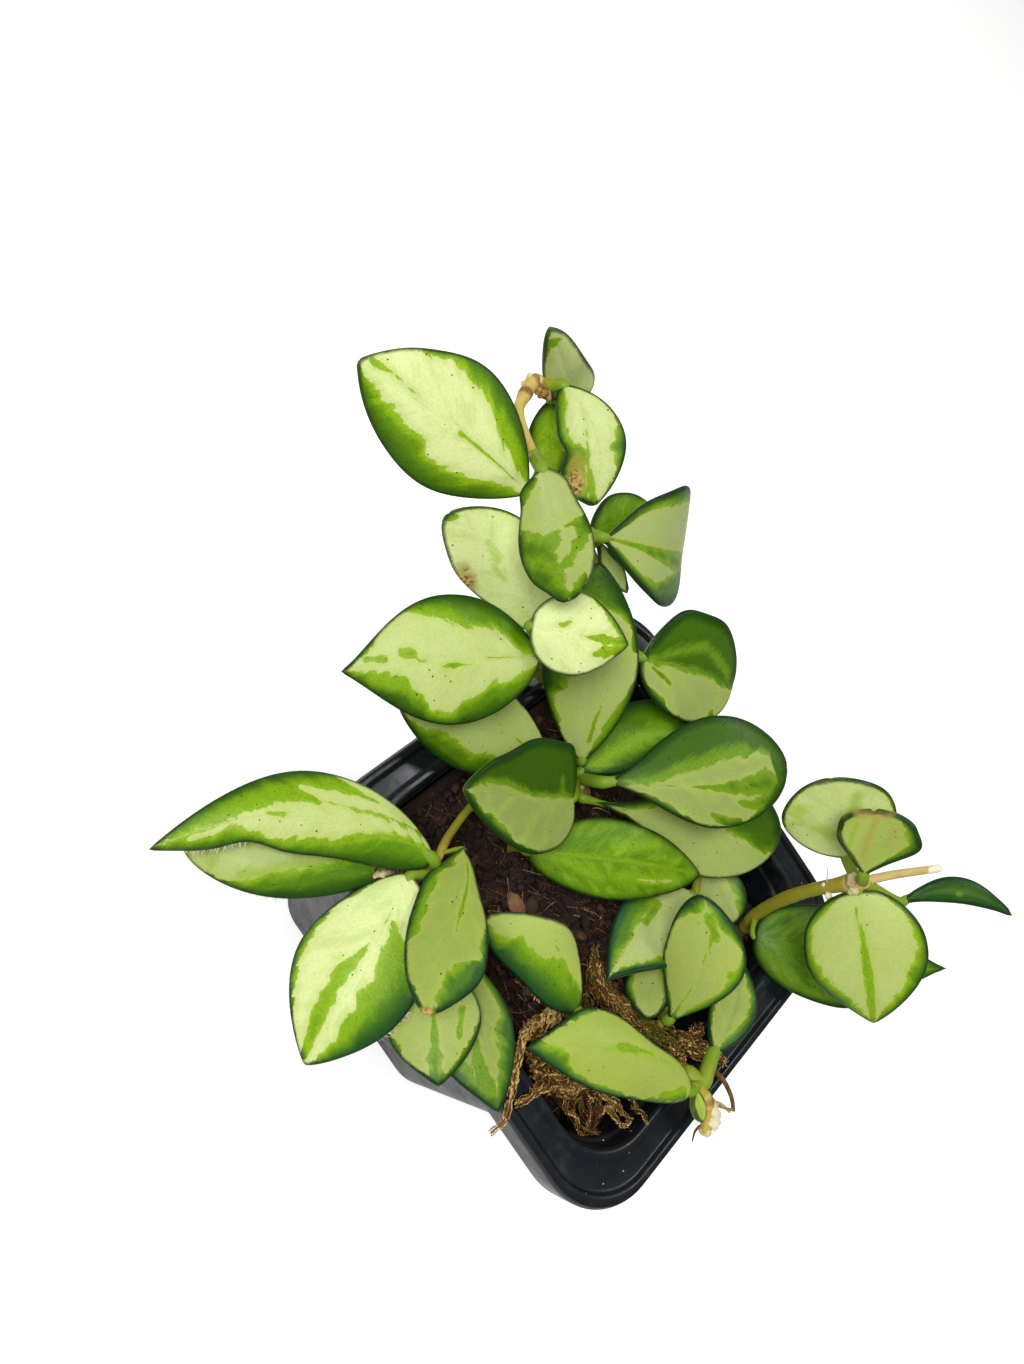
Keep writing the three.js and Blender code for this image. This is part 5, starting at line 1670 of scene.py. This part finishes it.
for number in range(FIBRES):
    x, y, z = on_soil(soil_rng, 3.5)
    heading = 0.6 + 0.9 * soil_rng.normal()
    bend = soil_rng.uniform(-0.7, 0.7)
    length = soil_rng.uniform(1.6, 6.5)
    rise = soil_rng.uniform(-0.2, 0.9)
    line = []
    for step in range(FIBRE_STEPS + 1):
        angle = heading + bend * step / FIBRE_STEPS
        lift = rise * step / FIBRE_STEPS * soil_rng.uniform(0.6, 1.2)
        walked = length * step / FIBRE_STEPS
        line.append((x + walked * math.cos(angle), y + walked * math.sin(angle), z + 0.5 + lift))
    half = inner_half(SOIL_LEVEL) - 0.8
    line = np.clip(np.array(line), (-half, -half, 0), (half, half, 99))
    thick = soil_rng.uniform(0.05, 0.14)
    fibre_tint = soil_rng.uniform(0.1, 0.66) if number % 9 else soil_rng.uniform(0.6, 0.95)
    radii = np.linspace(thick, 0.4 * thick, FIBRE_STEPS + 1)
    soil_skin.add(tube(line, radii, FIBRE_SIDES), bark=(fibre_tint, 0, 0))
print(FIBRES, "fibres")

# %% Bark chips, and the soil as a piece
# each row: centre, radii, tint
chips = [
    ((30.2, -22.8, 59.6), (0.9, 1.5, 2.4), 0.42),
    ((-6, -14, 61.4), (2.6, 1.4, 0.8), 0.62),
    ((-20, -18, 61), (2.2, 1.2, 0.7), 0.5),
    ((-2, 2, 61.6), (2.4, 1.1, 0.7), 0.58),
    ((6, 6, 61.2), (2.0, 1.0, 0.6), 0.66),
    ((-27, -24, 60.8), (2.4, 1.5, 0.7), 0.45),
]
for centre, radii, chip_tint in chips:
    soil_skin.add(lump(centre, np.array(radii), soil_rng, 0.5, turn=False), bark=(chip_tint, 0, 0))
soil_skin.build("soil_and_fibres", "potting_mix", [soil_finish], ["bark"])

# %% [markdown]
# ## The moss
# Dry golden moss lies in braided cords over the low corner, and a few strands hang over the rim. Each
# strand is a thin stem with small claw-shaped scale leaves in two rows, like a plait. Hair curves would be
# lost when the model is exported, so each scale is a small closed body of eight faces, and every next one
# is turned half round the strand. A table of lines says where the cords run.

# %% Material: moss
moss_finish, w, shader = new_material("dry moss", IOR=1.4, Specular_IOR_Level=0.25)
tint, greenness = w.parts(w.attribute("bark"))[:2]
grain = w.group(grain_group, Place=w.place(), Scale=1600.0, Pebble=0.4)
shade = w.plus(tint, w.centred(grain["Mottle"]), 0.7)
# its darkest stop also gives the painted shade at the roots of the scales
straw = w.ramp(shade, [
    (0.0, 52, 34, 16), (0.3, 112, 78, 34), (0.55, 164, 124, 60), (0.8, 208, 172, 104), (1.0, 230, 204, 146),
])
straw = w.mix(greenness, straw, colour(104, 112, 34))
dry = w.mottled(grain, 0.65, 0.9)
dress(w, shader, straw, dry, grain["Height"], distance=0.1 * MM, strength=0.8)

# %% A strand of moss
SCALE_TURN = math.radians(172)
SCALES_KEPT = 0.6
STRAND_STEP = 0.6
ROOT_STEP = 0.8
THREAD_SIDES = 6
# one for each corner of a scale, from its root to its tip: the dark root is painted shade where the
# scale lies against the strand, and the pale tip is the dry tip's own colour
SCALE_TINT_AND_SHADE = np.array([-0.45, 0.02, 0.12, 0.02, -0.1, 0.5])


def scale_leaf(root, outward, ahead, length, width):
    """One small pointed scale, bent like a claw: a closed body with eight faces."""
    tip = root + ahead * length * 0.85 + outward * length * 0.42
    middle = root + ahead * length * 0.3 + outward * length * 0.42
    side = unit(np.cross(ahead, outward)) * width / 2
    face = unit(np.cross(side, tip - root)) * width * 0.3
    points = np.array([root, middle + side, middle + face, middle - side, middle - face, tip])
    around = [(1, 2), (2, 3), (3, 4), (4, 1)]
    triangles = [(0, b, a) for a, b in around] + [(5, a, b) for a, b in around]
    return points, [np.array(triangles)]


def add_strand(skin, points, radius, rng, tint, size, spacing=0.2, green=0.0, shiver=0.7):
    """A stem with a row of scales on each side, like a plait. Sizes are in mm: size is a scale's
    length, and shiver is how far the strand strays."""
    path = smooth_path(points, STRAND_STEP)
    shifts = ((0, 0, 0), (9, 9, 9), (5, 0, 7))
    wander = np.array([[noise.noise(Vector(p * 0.35 + shift)) for shift in shifts] for p in path])
    path = path + shiver * wander * np.sin(np.linspace(0, math.pi, len(path)))[:, None]
    stem = tube(path, np.linspace(radius, 0.4 * radius, len(path)), THREAD_SIDES)
    skin.add(stem, bark=(tint - 0.25, green, 0))
    tangents = unit(np.gradient(path, axis=0))
    count = max(3, round(SCALES_KEPT * (len(path) - 1) / spacing))
    angle = rng.uniform(0, 6)
    for number in range(count):
        share = (number + 0.5) / count
        spot = share * (len(path) - 1)
        low = int(spot)
        root = path[low] + (path[min(low + 1, len(path) - 1)] - path[low]) * (spot - low)
        ahead = tangents[low]
        across = unit(np.cross(ahead, (0.31, 0.52, 0.79)))
        over = np.cross(ahead, across)
        angle += SCALE_TURN + rng.normal() * 0.3
        outward = math.cos(angle) * across + math.sin(angle) * over
        long = size * rng.uniform(0.75, 1.25) * (1 - 0.45 * share)
        # each scale's tints, with painted shade at its root
        tints = tint + rng.uniform(-0.2, 0.2) + SCALE_TINT_AND_SHADE
        rows = np.stack([tints, np.full(6, green), np.zeros(6)], axis=1)
        start = root + outward * radius * (1 - 0.6 * share) * 0.7
        skin.add(scale_leaf(start, outward, ahead, long, long * 0.42), bark=rows)


def add_root(skin, points, thick, thin, tint):
    """A bare brown root, thin as a thread."""
    line = smooth_path(points, ROOT_STEP)
    skin.add(tube(line, np.linspace(thick, thin, len(line)), THREAD_SIDES), bark=(tint, 0, 0))


print("each next scale is turned by", round(math.degrees(SCALE_TURN)), "degrees")

# %% The moss patch
MOUTH_HEIGHT = 66
LINE_STEP = 0.5
STRAND_POINTS = 7
moss_rng = np.random.default_rng(33)
patch_skin = Skin()
# each row: a line that the moss follows, strands, how far they spread, thickness, curl, tint, green
moss_lines = [
    ([(0.8, -22.8, 62.4), (3.3, -21.8, 62.2), (5.9, -20.6, 62.2), (8.5, -19.6, 61.8), (11.2, -18.4, 61.4)],
     13, 0.9, 0.28, 0.4, 0.34, 0.0),
    ([(3.3, -21.4, 63.4), (6.1, -20.1, 63.6), (9.4, -19.3, 62.6), (11.4, -18.6, 62.2)],
     7, 0.7, 0.24, 0.9, 0.6, 0.0),
    ([(10.5, -18.6, 62), (12.3, -19.4, 61.8), (12, -21.4, 62), (11, -23.5, 63.2), (9.5, -26, 64.4),
      (8, -28.5, 67)], 10, 0.8, 0.3, 0.3, 0.48, 0.0),
    ([(9, -6, 62.4), (12, -8.5, 62.2), (15.5, -9.5, 62), (19.5, -8, 61.4), (24, -6.5, 61.6), (27, -5, 62)],
     30, 1.7, 0.15, 0.12, 0.28, 0.1),
    ([(10, -7.5, 63.4), (14, -9.5, 63.4), (18, -9.5, 62.8), (23, -8, 62.8), (28, -7, 63.4)],
     9, 1.2, 0.22, 0.25, 0.46, 0.0),
    ([(19, -8.5, 62), (24, -7.5, 62.6), (27.5, -6, 63.2), (30, -6, 66), (31.6, -7, 69)],
     20, 1.5, 0.15, 0.15, 0.28, 0.5),
    ([(27, -5, 62), (30, -5, 65), (31.8, -5.5, 69), (33, -5, 72.2), (35, -3.5, 72.8), (36.6, -4.4, 71.8)],
     8, 0.8, 0.28, 0.35, 0.4, 0.05),
    ([(30, -4.5, 62.6), (31.6, -3, 64.5), (32.2, -1, 66), (32.2, -2.4, 67.6), (31.8, -4.5, 68)],
     7, 0.8, 0.26, 0.8, 0.42, 0.0),
    ([(30.6, -7.4, 65.4), (31.2, -9, 67.6), (31, -9.8, 69.4), (31.6, -8.4, 70.4)],
     5, 0.7, 0.26, 0.8, 0.5, 0.0),
    ([(11.5, -30.3, 67), (14.1, -28.8, 65.5), (16.8, -26.6, 64), (19.9, -25, 63), (22.9, -23.2, 62),
      (25, -22.4, 61)], 13, 1.2, 0.22, 0.6, 0.3, 0.0),
    ([(14, -31.2, 67.5), (16.4, -29.6, 66), (19.3, -27.5, 64.5), (21.9, -25.4, 63), (24.7, -23.1, 61.5)],
     9, 0.9, 0.26, 0.7, 0.42, 0.0),
    ([(13.4, -31.2, 68), (13.9, -28.6, 66.6), (15.3, -27.8, 66.2), (15.8, -29.5, 66.8), (15.2, -31, 67.4)],
     3, 0.5, 0.26, 0.3, 0.5, 0.0),
    ([(15.9, -28.3, 66.4), (17.2, -26.8, 66), (18.7, -27.4, 66), (18.2, -29.4, 66.4), (16.8, -29.5, 66.4)],
     3, 0.5, 0.26, 0.3, 0.52, 0.0),
    ([(18.4, -26.2, 65.4), (20.5, -25, 64.6), (21, -26.4, 64.8), (19.5, -27.6, 65.4)],
     3, 0.5, 0.24, 0.3, 0.46, 0.0),
    ([(20.5, -25.4, 64), (18.5, -28.4, 66), (16.7, -31, 68.7), (15.5, -34, 71.3), (14.8, -36.3, 71.4),
      (14.1, -37.8, 71)], 3, 0.35, 0.3, 0.2, 0.58, 0.0),
    ([(19.3, -29.1, 66.4), (21.6, -27.3, 65.4), (23.2, -25.2, 64.2), (24.5, -22.9, 62.7)],
     3, 0.45, 0.32, 0.2, 0.56, 0.0),
    ([(25, -22.4, 61), (27.4, -20.9, 61), (28.8, -20.6, 60.8), (29.6, -20.8, 61.4)],
     8, 1.1, 0.22, 0.5, 0.3, 0.0),
    ([(27.4, -20.9, 62), (28.6, -21, 62.5), (29.2, -20.7, 64), (29.6, -21.6, 65), (29.3, -22.4, 64),
      (29.6, -23.6, 64)], 2, 0.15, 0.26, 0.2, 0.6, 0.0),
    ([(28.8, -22.2, 64), (29.7, -23, 65), (30.7, -24, 67), (31.4, -24.1, 68.3), (31.8, -22.6, 68)],
     2, 0.2, 0.26, 0.2, 0.52, 0.0),
    ([(31.4, -18.4, 64.6), (32, -19.4, 67), (32.2, -21, 69.8), (33, -21.6, 71)],
     2, 0.25, 0.22, 0.2, 0.44, 0.0),
    ([(20.7, -25.5, 64.8), (25, -27.5, 63.8), (29.6, -27.6, 63.2), (30.8, -29.2, 63)],
     2, 0.9, 0.14, 0.4, 0.46, 0.0),
    ([(24.6, -22.7, 64.4), (28.2, -23.9, 63.4), (29.4, -25.8, 63), (30.8, -27, 62.6)],
     2, 0.9, 0.13, 0.4, 0.54, 0.0),
    ([(26.5, -22.2, 66), (29.4, -22.3, 66.4), (31.6, -21.6, 66.6), (32.5, -21.4, 67), (32, -22.7, 67.2)],
     2, 0.2, 0.2, 0.3, 0.56, 0.0),
    ([(14.7, -32.2, 67.5), (16.1, -29.8, 67.3), (19.3, -26.9, 66.8), (21.9, -23, 66.4), (24.7, -21.6, 66)],
     6, 0.8, 0.2, 0.9, 0.46, 0.0),
    ([(15.4, -35.2, 70.3), (16.3, -31.8, 68.3), (19.7, -28.2, 66.8)], 3, 0.4, 0.2, 0.5, 0.52, 0.0),
    ([(24, -14, 61), (28, -12, 62), (31, -11, 66)], 12, 1.8, 0.15, 0.3, 0.22, 0.4),
    ([(12, -13, 61.6), (18, -13, 61.2), (24, -12, 60.8)], 14, 2.2, 0.15, 0.3, 0.14, 0.1),
]
for line, count, spread, thick, curl, tint, green in moss_lines:
    line = smooth_path(line, LINE_STEP)
    for number in range(count):
        length = 1.0 if count < 4 else moss_rng.uniform(0.35, 0.85)
        start = moss_rng.uniform(0, 1 - length) * (len(line) - 1)
        spots = np.linspace(start, start + length * (len(line) - 1), STRAND_POINTS)
        drift = moss_rng.normal(size=3) * spread * 0.55
        sway = moss_rng.normal(size=(STRAND_POINTS, 3)) * spread * curl
        strand = line[spots.round().astype(int)] + drift * (1, 1, 0.6) + sway
        half = inner_half(strand[:, 2:]) - 0.9
        kept_in = np.clip(strand[:, :2], -half, half)
        strand[:, :2] = np.where(strand[:, 2:] < MOUTH_HEIGHT, kept_in, strand[:, :2])
        strand[:, 2] = np.maximum(strand[:, 2], soil_height(strand[:, 0], strand[:, 1]) + 0.6)
        radius = thick * moss_rng.uniform(0.8, 1.3)
        strand_tint = tint + moss_rng.uniform(-0.14, 0.14)
        strand_green = green * moss_rng.random() * 2
        size = 0.4 + 2.4 * radius
        add_strand(patch_skin, strand, radius, moss_rng, strand_tint, size, green=strand_green)
print(sum(row[1] for row in moss_lines), "strands along", len(moss_lines), "lines")

# %% Bare roots in the low corner
# each row: a line, thickness
roots = [
    ([(23.7, -25.7, 58.9), (27.7, -23.8, 56), (29.8, -23.4, 54.8), (30.1, -24.3, 54.8)], 0.22),
    ([(25.4, -23.5, 59), (28.4, -22.7, 56.6), (30, -23.2, 56.8), (29.8, -25.3, 58.9), (29.6, -26.7, 62.9),
      (29.8, -28, 65.4)], 0.28),
    ([(27.6, -22.7, 58), (29.4, -23.3, 56.3), (29.7, -25.7, 61), (29.8, -26.9, 65)], 0.2),
    ([(28.3, -21.4, 59), (29.6, -22.5, 60), (29.6, -24.9, 63), (29.2, -27.2, 65.4)], 0.24),
    ([(24, -26, 58.5), (28.6, -24.3, 55.6), (30, -25, 58), (29.8, -27, 63.4)], 0.18),
    ([(27.1, -22, 59), (27.9, -23.8, 57), (29.3, -24.3, 56), (29.9, -25.5, 59.7), (30, -26.2, 62.5)], 0.16),
    ([(30.4, -24, 59), (30, -25.6, 59.7), (29.6, -26.9, 62.7), (30.2, -25.6, 62.7)], 0.14),
    ([(29, -20.6, 59.5), (29.8, -22, 59.9), (30.1, -23.3, 60.3), (30.1, -25.4, 62), (29.4, -27.8, 65.4)],
     0.2),
    ([(22, -27.6, 60), (25.4, -26.6, 57.6), (28.4, -26.4, 57.8), (29.4, -27.6, 62.5)], 0.16),
    ([(29.6, -26.6, 62.5), (30.2, -27.4, 63.6), (29.4, -28.4, 65)], 0.2),
    ([(28.4, -28.2, 64), (29.6, -27.6, 65.2), (30.4, -26.8, 65.6)], 0.18),
]
for points, thick in roots:
    add_root(patch_skin, points, thick, 0.4 * thick, moss_rng.uniform(0.2, 0.45))
    for number in range(2):
        shift = moss_rng.normal(size=(len(points), 3)) * 0.45
        add_root(patch_skin, np.array(points) + shift, 0.5 * thick, 0.06, moss_rng.uniform(0.15, 0.5))
patch_skin.build("moss_cords", "moss_patch", [moss_finish], ["bark"], smooth=False)

# %% The strands over the rim
fringe_skin = Skin()
# each row: a line, thickness, tint
fringe = [
    ([(12, -19, 62.4), (10.4, -24, 64), (8.4, -28, 68), (7.4, -30.6, 71), (8.4, -33.4, 72),
      (10.4, -35.6, 72), (12.4, -38.4, 72), (14.4, -41.4, 71.4), (15, -43.4, 69.6)], 0.5, 0.6),
    ([(11.4, -20, 62.6), (10, -25, 65), (7.8, -29, 69.6), (7.2, -31, 71.4), (8.6, -34, 72.4),
      (10.6, -36, 72.2)], 0.5, 0.55),
    ([(12, -20.5, 63), (11, -25.4, 65.4), (8.8, -29.4, 69.6), (7.8, -31.6, 71.6), (9.2, -34.4, 72)],
     0.45, 0.5),
    ([(7.6, -36.8, 71.8), (9, -36.6, 72.2), (10.4, -37.2, 72.2), (12, -38.4, 72)], 0.4, 0.6),
    ([(8, -37.4, 71.8), (8.6, -38.2, 71.6), (9.4, -38, 71.8)], 0.3, 0.5),
    ([(16, -24, 62), (14, -28, 65), (11, -30, 67), (9, -31, 66)], 0.35, 0.5),
]
for points, radius, tint in fringe:
    add_strand(fringe_skin, points, 0.75 * radius, moss_rng, tint, 1.35, spacing=0.13, shiver=0.3)
    beside = np.array(points) + moss_rng.normal(size=3) * 0.25
    beside = beside[: len(beside) * 2 // 3 + 1]
    add_strand(fringe_skin, beside, 0.5 * radius, moss_rng, tint - 0.1, 1.1, spacing=0.16, shiver=0.5)
fringe_skin.build("moss_strands", "moss_fringe", [moss_finish], ["bark"], smooth=False)

# %% [markdown]
# ## The floor
# A plain pale floor keeps the photograph's empty white surroundings and takes a soft shadow. It glows a
# little, but only for the camera, so that the white doesn't light the pot's wall from below.

# %% The floor
FLOOR_SIZE = 8
FLOOR_GLOW = 0.35

bpy.ops.mesh.primitive_plane_add(size=FLOOR_SIZE, location=(0, 0, 0))
floor = bpy.context.object
floor.name = "floor"
floor_finish, w, shader = new_material(
    "pale floor", Roughness=0.9, Base_Color=colour(250, 250, 250), Emission_Color=(1, 1, 1, 1),
)
seen = w.add("ShaderNodeLightPath").outputs["Is Camera Ray"]
w.feed(shader.inputs["Emission Strength"], w.times(seen, FLOOR_GLOW))
floor.data.materials.append(floor_finish)
floor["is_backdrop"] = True
print("a floor of", FLOOR_SIZE, "m, which glows by", FLOOR_GLOW, "for the camera")

# %% Sizes
seen_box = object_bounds()
for label, (low, high) in (("cad", cad_box), ("visual", seen_box)):
    print(label, [round((b - a) / MM, 1) for a, b in zip(low, high)], "mm")
